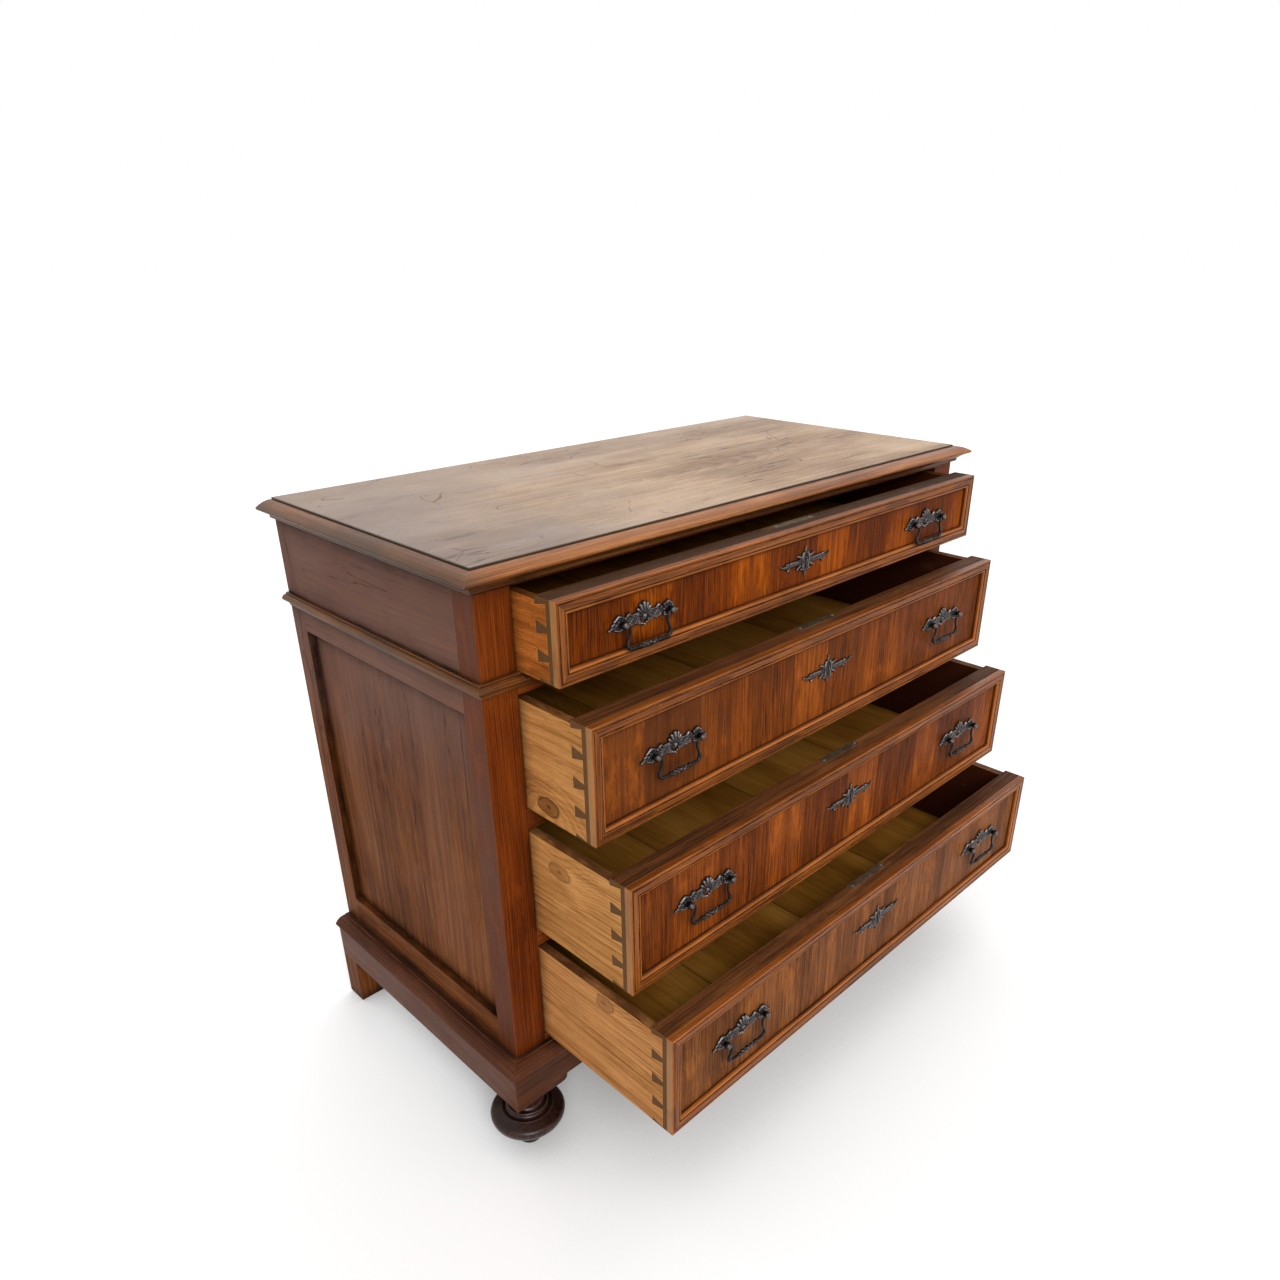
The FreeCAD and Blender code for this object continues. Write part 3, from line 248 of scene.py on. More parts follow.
def wood(name, light, middle, dark, ring=260.0, ring_depth=0.5, streak=0.5, vein=0.4, pore=0.5,
         patch=0.4, rough=(0.42, 0.62), shine=0.25, coat=0.0, corner_grime_and_shade=0.5, corner_occlusion_span=(0.88, 0.45),
         worn=0.25, curl=0.03, taper=0.05, cracks=0.0, knots=0.0, specks=0.0, leaf=0.0, end=0.45,
         end_colour=None, lines=0.5, blotch=0.0, scratch=0.0, tear=0.0, fine=1.0, seam=0.0,
         mark_and_shade=(0.1, 0.05, 0.02), mark_and_shade_amount=0.0, rim=None, directional_tints=()):
    """Wood seen along its own board: x of the plank coordinates runs with the grain.

    The colours go from early to late wood. The other amounts are shares from 0 to 1, but for
    ring (rings in a metre), leaf (width of a leaf of veneer in metres), fine (how many times finer
    the streaks are) and corner_occlusion_span (the occlusion at which the dirt and painted shade
    in corners start, and are thickest). Directional tints, most of them painted sheen and painted
    shade, are (way, from, to, colour, amount), and a rim is (centre, half size, width of a dark
    edge of painted shade). The mesh says where boards lie and end, where they carry marks and
    painted shade, where dirt and painted shade lie, and where wear and painted highlights rub
    them bright.
    """
    g = Graph(bpy.data.materials.new(name))

    # the grain itself
    place = g.add("Attribute", out=1, attribute_name="plank")
    if leaf:
        place, joint, tint = leaves(g, place, leaf)
    bent = bend(g, place, curl)
    knot = scatter_knots(g, place, knots) if knots else None
    rings = growth_rings(g, bent, ring, taper, knot)
    fibres = g.noise(bent, (9.0, 520.0, 520.0), 4.0, 0.7)
    streaks = g.noise(bent, (2.6, 120.0 * fine, 120.0 * fine), 4.0, 0.65)
    vessels = g.span(g.noise(bent, (7.0, 330.0 * fine, 330.0 * fine), 3.0, 0.6), 0.52, 0.62)
    veins = g.span(g.noise(bent, (0.9, 26.0, 26.0), 3.0, 0.55), 0.55, 0.72)
    patches = g.noise(place, (2.2, 6.5, 6.5), 3.0, 0.55)
    smear = g.noise(place, (14.0, 22.0, 22.0), 4.0, 0.6)
    tone = g.total(g.product(rings, ring_depth), g.product(g.span(streaks, 0.35, 0.7), streak),
                   g.product(g.span(patches, 0.3, 0.7), patch),
                   g.product(g.math("SUBTRACT", fibres, 0.5), 0.9))
    tone = g.math("DIVIDE", tone, ring_depth + streak + patch, clamp=True)
    colour = g.ramp(tone, [(0.0, light), (0.45, middle), (1.0, dark)])
    if leaf:
        colour = g.mix(g.product(tint, 0.25), colour, shaded(dark, 1.6))
        colour = g.mix(g.product(joint, 0.6), colour, shaded(dark, 0.5))
    colour = g.mix(g.product(veins, vein, g.span(vessels, 0.0, 1.0, 0.55, 1.0)), colour,
                   shaded(dark, 0.5))
    colour = g.mix(g.product(vessels, g.span(patches, 0.25, 0.7, 0.35, 1.0), lines), colour,
                   shaded(dark, 0.7))
    pores = g.span(g.noise(bent, (55.0, 1500.0, 1500.0), 2.0, 0.5), 0.58, 0.72)
    colour = g.mix(g.product(pores, pore), colour, shaded(dark, 0.4))

    # tints along a direction: most of them painted sheen and painted shade
    where = g.add("TexCoord", out=3)
    cloud = g.noise(where, (5.0, 5.0, 5.0), 4.0, 0.6)
    for way, low, high, tinted, amount in directional_tints:
        along = g.vector("DOT_PRODUCT", where, way).node.outputs[1]
        along = g.total(along, g.product(g.math("SUBTRACT", cloud, 0.5), (high - low) * 0.9))
        colour = g.mix(g.product(g.span(along, low, high), amount), colour, tinted)
    if blotch:
        stains = g.noise(place, (7.0, 22.0, 22.0), 6.0, 0.7)
        colour = g.mix(g.product(g.span(stains, 0.5, 0.72), blotch), colour, shaded(dark, 1.3))
        colour = g.mix(g.product(g.span(stains, 0.46, 0.3), blotch), colour, shaded(light, 1.15))

    # knots, torn grain, cracks, scratches and flecks
    if knots:
        away, chosen = knot
        colour = g.mix(g.product(g.span(away, KNOT_RIM + 0.005, KNOT_RIM - 0.025), chosen, knots,
                                 0.7), colour, shaded(dark, 0.9))
        colour = g.mix(g.product(g.near(away, KNOT_RIM, 0.02), chosen, knots, 0.85), colour,
                       shaded(dark, 0.35))
        colour = g.mix(g.product(g.span(away, KNOT_HEART, KNOT_HEART - 0.01), chosen, knots, 0.8),
                       colour, shaded(dark, 0.4))
    if tear:
        torn = g.noise(bent, (24.0, 210.0, 210.0), 4.0, 0.65)
        torn_here = g.span(smear, 0.42, 0.6, 0.25, 1.0)
        colour = g.mix(g.product(g.span(torn, 0.58, 0.66), torn_here, tear), colour,
                       shaded(light, 1.3))
        colour = g.mix(g.product(g.span(torn, 0.42, 0.34), torn_here, tear), colour,
                       shaded(dark, 0.9))
    if cracks:
        wave = g.noise(place, (1.5, 15.0, 15.0), 4.0, 0.6)
        split_open = g.product(g.near(wave, 0.5, 0.012), g.span(patches, 0.47, 0.56))
        colour = g.mix(g.product(split_open, cracks), colour, shaded(dark, 0.12))
    if scratch:
        colour = g.mix(g.product(scratches(g, where), scratch), colour, shaded(dark, 0.4))
    if specks:
        flecks = g.noise(place, (170.0, 330.0, 330.0), 3.0, 0.7)
        colour = g.mix(g.product(g.span(flecks, 0.6, 0.7), specks), colour, shaded(dark, 0.35))

    # where boards end and meet, and the marks and painted shade that the mesh asks for
    ends = g.add("Attribute", out=2, attribute_name="end")
    colour = g.mix(g.product(ends, g.span(fibres, 0.3, 0.7, 0.8, 1.0), end), colour,
                   end_colour or shaded(dark, 0.8))
    if seam:
        inside = g.parts(g.add("Attribute", out=1, attribute_name="seam"))
        edge_gap = g.math("SUBTRACT", inside[1], g.math("ABSOLUTE", inside[0]))
        colour = g.mix(g.product(g.span(edge_gap, *SEAM_LINE), seam), colour, shaded(dark, 0.15))
        colour = g.mix(g.product(g.span(edge_gap, SEAM_SHADE, 0.0), seam, 0.3), colour,
                       shaded(dark, 0.8))
    # marks, and painted shade on the drawers' inner faces
    if mark_and_shade_amount:
        touched = g.add("Attribute", out=2, attribute_name="mark_and_shade")
        colour = g.mix(g.product(touched, g.span(smear, 0.3, 0.6, 0.55, 1.0), mark_and_shade_amount), colour,
                       mark_and_shade)
    # painted shade: a dark line along the front and side edges of a board
    if rim:
        colour = g.mix(g.product(near_rim(g, where, *rim), 0.85), colour, shaded(dark, 0.08))

    # dirt and painted shade in corners and grooves; edges worn bright, steps given painted
    # highlights too
    corner = g.add("AmbientOcclusion", {"Distance": CORNER_REACH}, out=1, samples=6)
    shade = g.product(g.span(corner, *corner_occlusion_span), g.span(smear, 0.25, 0.7, 0.55, 1.0))
    colour = g.mix(g.product(shade, corner_grime_and_shade), colour, shaded(dark, 0.16))
    soft, edge = sharpness(g, SOFT_EDGE)
    # dirt and painted shade in the moulding's grooves and at the foot of its ovolo
    groove_dirt_and_shade = g.add("Attribute", out=2, attribute_name="groove_dirt_and_shade")
    colour = g.mix(g.product(groove_dirt_and_shade, g.span(smear, 0.25, 0.6, 0.6, 0.95)), colour,
                   shaded(dark, 0.12))
    # rubbed bright: wear on sharp edges, and wear with painted highlights on the moulding's steps
    wear_and_highlight = g.add("Attribute", out=2, attribute_name="rub")
    rubbed = g.math("MAXIMUM", g.product(g.span(edge, 0.985, 0.85), g.span(smear, 0.35, 0.6)),
                    g.product(wear_and_highlight, g.span(smear, 0.3, 0.65, 0.35, 1.0)))
    colour = g.mix(g.product(rubbed, worn), colour, shaded(light, 1.5))

    # the surface
    gloss = g.span(g.total(g.product(patches, 0.6), g.product(smear, 0.4)), 0.3, 0.7, *rough)
    height = g.total(g.product(fibres, 0.5), g.product(streaks, 0.35), g.product(pores, -0.6),
                     g.product(vessels, -0.4), g.product(rings, -0.15))
    grain = g.add("Bump", {"Strength": 0.35, "Distance": GRAIN_DEPTH, "Height": height,
                           "Normal": soft})
    return g.finish(g.add("BsdfPrincipled", {
        "Base Color": colour, "Roughness": gloss, "Normal": grain, "Specular IOR Level": shine,
        "Coat Weight": coat, "Coat Roughness": 0.28}))


def metal(name, dark, bright, rough=(0.34, 0.6)):
    """Dark metal, bright where hands have rubbed it and on its sharp edges."""
    g = Graph(bpy.data.materials.new(name))
    place = g.add("TexCoord", out=3)
    grit = g.noise(place, (420.0, 420.0, 420.0), 4.0, 0.6)
    cloud = g.noise(place, (90.0, 90.0, 90.0), 3.0, 0.6)
    soft, edge = sharpness(g, 0.0008)
    high = g.add("Attribute", out=2, attribute_name="rub")
    rubbed = g.math("MAXIMUM", g.product(g.span(edge, 0.99, 0.85), g.span(cloud, 0.35, 0.6)),
                    g.product(high, g.span(cloud, 0.3, 0.6, 0.3, 1.0)))
    colour = g.mix(g.span(cloud, 0.3, 0.7), dark, shaded(dark, 2.0))
    colour = g.mix(rubbed, colour, bright)
    corner = g.add("AmbientOcclusion", {"Distance": 0.005}, out=1, samples=6)
    colour = g.mix(g.span(corner, 0.75, 0.3), colour, (0.003, 0.0025, 0.0025))
    bumps = g.add("Bump", {"Strength": 0.3, "Distance": 0.0003, "Height": grit, "Normal": soft})
    return g.finish(g.add("BsdfPrincipled", {
        "Base Color": colour, "Metallic": 0.75, "Normal": bumps,
        "Roughness": g.span(grit, 0.3, 0.7, *rough)}))


# ---- boards: which way the grain of each piece runs
# A rule takes a face's centre and gives its grain axis and the number of its board. Boards of
# different numbers are cut from different places, so no two of them look the same.
ALONG_FIRST = {"x": (0, 1, 2), "y": (1, 0, 2), "z": (2, 0, 1)}
ACROSS_STEP, THROUGH_STEP, THROUGH_SPREAD, THROUGH_LEAST = 0.37, 0.61, 0.05, 0.01
END_GRAIN = 0.8  # a face is end grain if its normal is this much along the grain


def read(source, name, width, kind=float):
    """One attribute of all the items of a mesh, as an array."""
    values = np.empty(len(source) * width, kind)
    source.foreach_get(name, values)
    return values.reshape(-1, width) if width > 1 else values


def write(mesh, name, values, domain="CORNER"):
    """Give each face corner, or point, of a mesh one number."""
    layer = mesh.attributes.new(name, "FLOAT", domain)
    layer.data.foreach_set("value", np.array(values, np.float32))


def lay_grain(mesh, rule, heart=0.1, spread=0.2, stagger=3.71, touched=None):
    """Give each face of a piece the coordinates of the board that it was cut from.

    Boards lie stagger apart along the trunk, and heart to heart + spread from its middle.
    """
    centres = read(mesh.polygons, "center", 3)
    normals = read(mesh.polygons, "normal", 3)
    sizes = read(mesh.polygons, "loop_total", 1, int)
    points = read(mesh.vertices, "co", 3)[read(mesh.loops, "vertex_index", 1, int)]
    owners = np.repeat(np.arange(len(sizes)), sizes)
    placed = [rule(*centre) for centre in centres]
    order = np.array([ALONG_FIRST[axis] for axis, _ in placed])
    board = np.array([number for _, number in placed], float)[owners]
    planks = np.take_along_axis(points, order[owners], axis=1)
    seams = np.zeros(planks.shape)
    for number in np.unique(board):
        mine = board == number
        planks[mine] -= (planks[mine].min(axis=0) + planks[mine].max(axis=0)) / 2
        seams[mine, 0] = planks[mine, 1]
        seams[mine, 1] = planks[mine, 1].max()
    planks[:, 0] += board * stagger
    planks[:, 1] += heart + (board * ACROSS_STEP) % 1.0 * spread
    planks[:, 2] += (board * THROUGH_STEP) % 1.0 * THROUGH_SPREAD + THROUGH_LEAST
    for name, vectors in (("plank", planks), ("seam", seams)):
        layer = mesh.attributes.new(name, "FLOAT_VECTOR", "CORNER")
        layer.data.foreach_set("vector", vectors.astype(np.float32).ravel())
    ends = np.abs(normals[np.arange(len(sizes)), order[:, 0]]) > END_GRAIN
    write(mesh, "end", ends[owners])
    if touched:
        marks_and_shade = np.array([touched(*centre, *normal) for centre, normal in zip(centres, normals)])
        write(mesh, "mark_and_shade", marks_and_shade[owners])


def mitred(first):
    """Grain of three mitred lengths that run round the front and sides of the body."""
    def rule(x, y, z):
        aside = abs(x) - BODY_HALF
        if aside > POST_FACE - y:
            return "y", first + (1 if x > 0 else 2)
        return "x", first
    return rule


def framed(node, first):
    """Grain of the four mitred members planted on a drawer front."""
    low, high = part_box(node)

    def rule(x, y, z):
        side = high.x - abs(x)
        if side < min(z - low.z, high.z - z):
            return "z", first + (1 if x > 0 else 2)
        return "x", first + (3 if z > (low.z + high.z) / 2 else 4)
    return rule


def in_boards(node, count, axis, split, first):
    """Equal boards side by side; axis is the grain, split the way they are counted."""
    low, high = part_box(node)
    step = (high[split] - low[split]) / count

    def rule(*place):
        return axis, first + int((place[split] - low[split] - 1e-5) / step)
    return rule


def plain(axis, number):
    """Grain of a pair of pieces, one on each side of the middle."""
    return lambda x, y, z: (axis, number + (7 if x > 0 else 0))


def dress(node, material, rule=None, **grain):
    """Give a CAD piece its material and grain."""
    data = nodes[node].data
    data.materials.clear()
    data.materials.append(material)
    if rule:
        lay_grain(data, rule, **grain)


# ---- finishes
LEFT, RIGHT, BACK, UP = (-1, 0, 0), (1, 0, 0), (0, 1, 0), (0, 0, 1)
walnut = wood("walnut", srgb(148, 74, 26), srgb(108, 48, 14), srgb(44, 18, 7), shine=0.14,
              coat=0.03, rough=(0.32, 0.5), worn=0.45)
frame_wood = wood("walnut_frame", srgb(182, 106, 46), srgb(130, 69, 24), srgb(56, 28, 10),
                  shine=0.13, coat=0.03, rough=(0.24, 0.4), worn=0.8, lines=0.6, fine=1.4,
                  blotch=0.3, corner_grime_and_shade=0.9, corner_occlusion_span=(0.8, 0.4), mark_and_shade=srgb(190, 138, 84), mark_and_shade_amount=0.8)
# the posts' side faces are tinted greyer: painted sheen
post_wood = wood("walnut_post", srgb(150, 74, 24), srgb(110, 48, 12), srgb(44, 18, 6), shine=0.07,
                 rough=(0.32, 0.5), worn=0.7, streak=0.35, fine=1.6, blotch=0.3, corner_grime_and_shade=0.9,
                 directional_tints=[(way, BODY_HALF - 0.0015, BODY_HALF - 0.0005, srgb(98, 54, 32), 0.75)
                        for way in (LEFT, RIGHT)])
# the top drawer's core is darker towards its top: painted shade under the top, and stain
core_wood = wood("walnut_core", srgb(128, 80, 42), srgb(88, 50, 24), srgb(38, 21, 11),
                 shine=0.08, rough=(0.5, 0.7), streak=0.7, lines=0.8, specks=0.5, end=0.8,
                 blotch=0.4, end_colour=srgb(118, 84, 52), worn=0.5,
                 directional_tints=((UP, 0.88, 0.93, srgb(52, 33, 18), 0.8),))
# the mouldings on the left side are darker and greyer: painted shade and sheen
edging = wood("walnut_moulding", srgb(190, 124, 66), srgb(148, 86, 38), srgb(68, 36, 16),
              shine=0.16, coat=0.04, rough=(0.26, 0.42), worn=0.5, corner_grime_and_shade=1.0, corner_occlusion_span=(0.95, 0.6),
              lines=0.6, directional_tints=((LEFT, 0.54, 0.62, srgb(66, 50, 38), 0.92),))
plinth_wood = wood("walnut_plinth", srgb(110, 66, 44), srgb(90, 52, 34), srgb(50, 28, 18),
                   shine=0.09, rough=(0.36, 0.54), corner_grime_and_shade=1.0, worn=0.9, streak=0.2, lines=0.25,
                   vein=0.15, ring_depth=0.2, blotch=0.35)
foot_wood = wood("walnut_foot", srgb(80, 42, 28), srgb(42, 22, 15), srgb(14, 8, 7), shine=0.22,
                 coat=0.12, rough=(0.2, 0.36), corner_grime_and_shade=0.8, blotch=0.6, worn=0.5)
# the sides are greyer towards the top: painted sheen
side_wood = wood("walnut_side", srgb(150, 90, 44), srgb(108, 58, 23), srgb(50, 25, 10),
                 shine=0.07, rough=(0.44, 0.64), vein=0.35, cracks=0.5, lines=0.6, blotch=0.25,
                 worn=0.6, corner_grime_and_shade=1.0, corner_occlusion_span=(0.97, 0.66),
                 directional_tints=((UP, 0.5, 0.82, srgb(122, 90, 80), 0.75),))
TOP_LOW, TOP_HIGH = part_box("top_board")
TOP_MIDDLE, TOP_HALF = (TOP_LOW + TOP_HIGH) / 2, (TOP_HIGH - TOP_LOW) / 2
# the top is greyer at the left and at the back: painted sheen
top_wood = wood("walnut_top", srgb(206, 168, 128), srgb(172, 136, 100), srgb(106, 76, 54),
                ring=150.0, ring_depth=0.3, vein=0.2, shine=0.42, rough=(0.4, 0.62), taper=0.12,
                curl=0.05, cracks=0.75, specks=0.6, corner_grime_and_shade=0.6, lines=0.4, blotch=0.15, patch=0.6,
                streak=0.3, scratch=0.8, rim=(TOP_MIDDLE, TOP_HALF, 0.0028),
                directional_tints=((LEFT, 0.0, 0.62, srgb(132, 114, 106), 0.85),
                       (BACK, 0.15, 0.45, srgb(160, 136, 118), 0.55)))
pine = wood("pine", srgb(198, 144, 88), srgb(172, 116, 66), srgb(122, 74, 38), ring=210.0,
            vein=0.1, pore=0.15, shine=0.1, rough=(0.55, 0.75), corner_grime_and_shade=0.7, knots=0.45, lines=0.25,
            blotch=0.45, seam=0.9, tear=0.3)
# for each drawer: early, middle and late wood, the share of flecks and the share of knots
PINES = (((228, 138, 64), (190, 108, 42), (112, 58, 20), 0.75, 0.3),
         ((232, 166, 98), (196, 132, 70), (116, 66, 28), 0.35, 0.95),
         ((238, 172, 104), (202, 140, 76), (128, 76, 34), 0.2, 0.6),
         ((230, 164, 100), (192, 128, 70), (116, 68, 34), 0.2, 0.6))
bottom_wood = wood("pine_bottom", srgb(210, 150, 66), srgb(176, 118, 42), srgb(120, 76, 26),
                   vein=0.1, pore=0.1, shine=0.04, rough=(0.6, 0.8), corner_grime_and_shade=0.8, specks=0.2,
                   ring_depth=0.1, streak=0.15, patch=0.6, lines=0.05, blotch=0.25, seam=0.8)
# the veneer of drawer 2 is darker at the left
DARKER = ((LEFT, 0.18, 0.4, srgb(100, 56, 28), 0.55),)
VENEERS = (((204, 104, 10), (146, 66, 5), (62, 24, 4)),
           ((196, 104, 30), (142, 70, 17), (62, 28, 9)),
           ((196, 104, 34), (140, 68, 20), (54, 24, 9)),
           ((186, 112, 54), (138, 80, 36), (64, 33, 16)))


SQUARE = 0.9  # a face looks along an axis if its normal is this much along it
INSIDE_PAINTED_SHADE = 1.9  # over 1, so that the painted shade is deep in spite of the uneven smear


def box_stain_and_painted_shade(node):
    """Dark-stained top edges of a drawer's sides and back, and painted shade on their inner faces.
    """
    low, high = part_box(node)

    def touched(x, y, z, right, back, up):
        inner_side = right * x < -SQUARE * abs(x) and abs(x) > high.x / 2
        inner_back = back < -SQUARE and y > (low.y + high.y) / 2
        if inner_side or inner_back:
            return INSIDE_PAINTED_SHADE
        return 1.0 if up > SQUARE and z > high.z - 0.03 else 0.0
    return touched


def bare_end(node):
    """The unpolished outer ends of the moulding on a drawer front."""
    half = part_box(node)[1].x

    def touched(x, y, z, right, back, up):
        return 1.0 if abs(right) > SQUARE and abs(x) > half - 0.002 else 0.0
    return touched


# ---- the moulding planted on each drawer front, in mm: (inwards, behind the front)
OVOLO_START, OVOLO_END, OVOLO_DEPTH, OVOLO_RISE = 16.6, 22.0, 7.5, 6.8
MOULDING = [(0.0, 12.0), (0.0, 0.7), (0.7, 0.0), (3.4, 0.0), (3.9, 1.6), (5.3, 1.6), (5.8, 0.0),
            (14.0, 0.0), (14.4, 0.5), (14.4, 2.6), (OVOLO_START, 2.6)]
MOULDING += [(OVOLO_START + (OVOLO_END - OVOLO_START) * math.sin(t),
              OVOLO_DEPTH - OVOLO_RISE * math.cos(t)) for t in np.radians(np.arange(0, 91, 15))]
MOULDING += [(OVOLO_END, 12.0)]
# moulding steps with dirt and painted shade, and those polished by hands with painted highlights,
# with amounts
DIRT_AND_SHADE_STEPS = {3: 1.0, 4: 1.0, 5: 0.8, 8: 0.8, 9: 1.0, 10: 1.0, 15: 0.4, 16: 0.8}
WEAR_AND_HIGHLIGHT_STEPS = {1: 0.6, 7: 0.5, 11: 0.45, 12: 0.75, 13: 0.5}


def frame_mesh(node):
    """Four mitred lengths of the moulding, within the box of the given node."""
    low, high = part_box(node)
    points, faces = [], []
    for inward, depth in MOULDING:
        side, level = inward * MM, low.y + depth * MM
        points += [(low.x + side, level, low.z + side), (high.x - side, level, low.z + side),
                   (high.x - side, level, high.z - side), (low.x + side, level, high.z - side)]
    steps = len(MOULDING)
    for step in range(steps):
        here, there = 4 * step, 4 * ((step + 1) % steps)
        for corner in range(4):
            turn = (corner + 1) % 4
            faces.append((here + corner, here + turn, there + turn, there + corner))
    mesh = bpy.data.meshes.new(node + "_moulding")
    mesh.from_pydata(points, [], faces)
    step_of = [corner // 16 for corner in range(len(faces) * 4)]
    for name, amounts in (("groove_dirt_and_shade", DIRT_AND_SHADE_STEPS), ("rub", WEAR_AND_HIGHLIGHT_STEPS)):
        write(mesh, name, [amounts.get(step, 0.0) for step in step_of])
    mesh.update()
    return mesh


def place(name, mesh, material, body, slot, where, replaced=None, tilt=0.0):
    """Add a piece to a body; it may stand in for a CAD node, and be tilted back, in degrees."""
    piece = bpy.data.objects.new(name, mesh)
    if not mesh.materials:
        mesh.materials.append(material)
    piece.location = where
    piece.rotation_euler = (math.radians(tilt), 0.0, 0.0)
    bpy.context.scene.collection.objects.link(piece)
    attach(piece, body)
    if replaced:
        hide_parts(replaced)


iron = metal("cast_metal", (0.006, 0.005, 0.005), (0.22, 0.19, 0.18), rough=(0.28, 0.5))
steel = metal("lock_steel", (0.075, 0.052, 0.03), (0.4, 0.32, 0.21))

dress("top_board", top_wood, lambda x, y, z: ("x", 1), heart=0.06, spread=0.0)
dress("top_moulding", edging, mitred(2))
dress("waist_moulding", edging, mitred(6))
dress("plinth_moulding", plinth_wood, mitred(10))
dress("plinth_boards", plinth_wood, mitred(14))
dress("front_rails", walnut, lambda x, y, z: ("x", 20 + int(z * 7)))
dress("front_posts", post_wood, plain("z", 30))
dress("rear_stiles", side_wood, plain("z", 32))
dress("side_rails", side_wood, lambda x, y, z: ("y", 34 + int(z * 3) + (9 if x > 0 else 0)))
dress("side_panels", side_wood, plain("z", 50), heart=0.03, spread=0.0)
dress("drawer_runners", pine, plain("y", 52))
dress("back_rails", pine, lambda x, y, z: ("x", 54))
dress("back_boards", pine, in_boards("back_boards", 5, "z", 0, 60))
dress("plinth_blocks", pine, plain("z", 66))
dress("bun_feet", foot_wood, plain("z", 68))
dress("rear_legs", side_wood, plain("z", 70))
BACK_HALF = 0.501  # the drawer sides lie further out than this, the back within it
for index, drawer in enumerate(DRAWERS):
    base = 80 + 20 * index  # the number of the drawer's first board
    # dirt and painted shade darken the veneer round the fittings and in its frame's corners
    face = wood("veneer_%d" % (index + 1), *(srgb(*c) for c in VENEERS[index]), ring=150.0,
                ring_depth=0.15, streak=0.6, patch=0.75, vein=0.45, taper=0.12, curl=0.1,
                fine=1.8, shine=0.04, rough=(0.3, 0.46), leaf=0.104, lines=1.0, blotch=0.45,
                corner_grime_and_shade=0.8, corner_occlusion_span=(0.93, 0.55), directional_tints=DARKER if index == 1 else ())
    light, middle, dark, specks, knots = PINES[index]
    # the sides' top edges are stained dark, and their inner faces given painted shade
    box_wood = wood("pine_%d" % (index + 1), srgb(*light), srgb(*middle), srgb(*dark), ring=190.0,
                    vein=0.12, pore=0.15, shine=0.1, rough=(0.52, 0.72), corner_grime_and_shade=0.6, end=0.5,
                    lines=0.3, blotch=0.35, worn=0.5, specks=specks, knots=knots, tear=0.4,
                    mark_and_shade=srgb(64, 27, 12), mark_and_shade_amount=0.9)
    sides = drawer + "_sides_and_back"
    border = drawer + "_front_frame"
    dress(drawer + "_front_core", core_wood, lambda x, y, z, n=base: ("x", n))
    moulding = frame_mesh(border)
    lay_grain(moulding, framed(border, base + 1), touched=bare_end(border))
    place(drawer + "_moulding", moulding, frame_wood, drawer, "walnut", (0, 0, 0), border)
    dress(drawer + "_veneer_panel", face, lambda x, y, z, n=base: ("z", n + 6), heart=3.0,
          spread=5.0, stagger=0.0)
    dress(sides, box_wood,
          lambda x, y, z, n=base: ("y" if abs(x) > BACK_HALF else "x",
                                   n + 7 + (1 if x > 0 else 0)),
          touched=box_stain_and_painted_shade(sides))
    dress(drawer + "_bottom", bottom_wood, in_boards(drawer + "_bottom", 4, "y", 0, base + 9))
    dress(drawer + "_lock", steel)
    dress(drawer + "_lock_bolt", steel)


# ---- cast fittings: relief worked out from domed bars, in millimetres
# A bar runs from one point to another: (across, up), (across, up), radii, heights. The left
# half mirrors the right one, and the crest is the highest point above the origin.
PLATE_CREST = 22.0
PLATE_BARS = (
    ((0.0, 2.0), (0.0, 18.9), (3.0, 3.0), (3.6, 4.4)),
    ((1.0, 2.0), (6.6, 16.9), (2.4, 2.6), (3.2, 3.9)),
    ((1.6, 1.6), (11.0, 11.6), (2.2, 2.5), (3.0, 3.6)),
    ((2.0, 1.0), (12.4, 5.6), (2.0, 2.2), (2.8, 3.2)),
    ((0.0, 1.6), (0.0, 0.4), (5.4, 5.4), (4.8, 4.8)),
    ((8.0, 0.6), (30.0, 0.0), (7.4, 6.6), (0.8, 0.8)),
    ((9.0, 7.0), (24.0, 6.0), (1.2, 1.2), (2.7, 2.7)),
    ((8.0, -6.6), (31.0, -6.2), (1.2, 1.2), (2.7, 2.7)),
    ((32.0, -4.0), (33.5, 4.0), (2.8, 2.6), (2.4, 2.4)),
    ((24.0, 6.2), (27.6, 9.6), (1.5, 2.3), (2.8, 3.4)),
    ((27.6, 9.6), (31.6, 6.6), (2.3, 1.5), (3.4, 2.6)),
    ((45.0, 0.0), (45.0, 0.2), (10.2, 10.2), (2.2, 2.2)),
    ((38.5, 7.0), (47.0, 10.6), (1.7, 1.9), (3.2, 3.4)),
    ((47.0, 10.6), (55.0, 4.4), (1.9, 1.6), (3.4, 2.6)),
    ((39.5, -8.0), (46.0, -10.4), (1.7, 1.9), (3.0, 3.2)),
    ((46.0, -10.4), (54.0, -7.6), (1.9, 1.6), (3.2, 2.4)),
    ((52.0, -2.0), (62.0, -5.2), (4.6, 1.7), (2.8, 2.0)),
    ((64.2, -6.0), (64.3, -6.0), (2.2, 2.2), (2.6, 2.6)),
    ((55.0, 1.6), (59.6, -0.6), (2.0, 1.1), (2.6, 1.6)),
    ((0.0, -11.6), (0.0, -11.5), (2.4, 2.4), (3.4, 3.4)),
    ((4.6, -9.6), (4.7, -9.6), (2.1, 2.1), (3.0, 3.0)),
    ((8.8, -9.0), (8.9, -9.0), (1.9, 1.9), (2.8, 2.8)),
    ((12.6, -8.4), (12.7, -8.4), (1.7, 1.7), (2.6, 2.6)),
    ((22.0, -7.4), (25.0, -7.6), (1.6, 1.4), (2.8, 2.4)),
)
SHIELD_CREST = 26.0
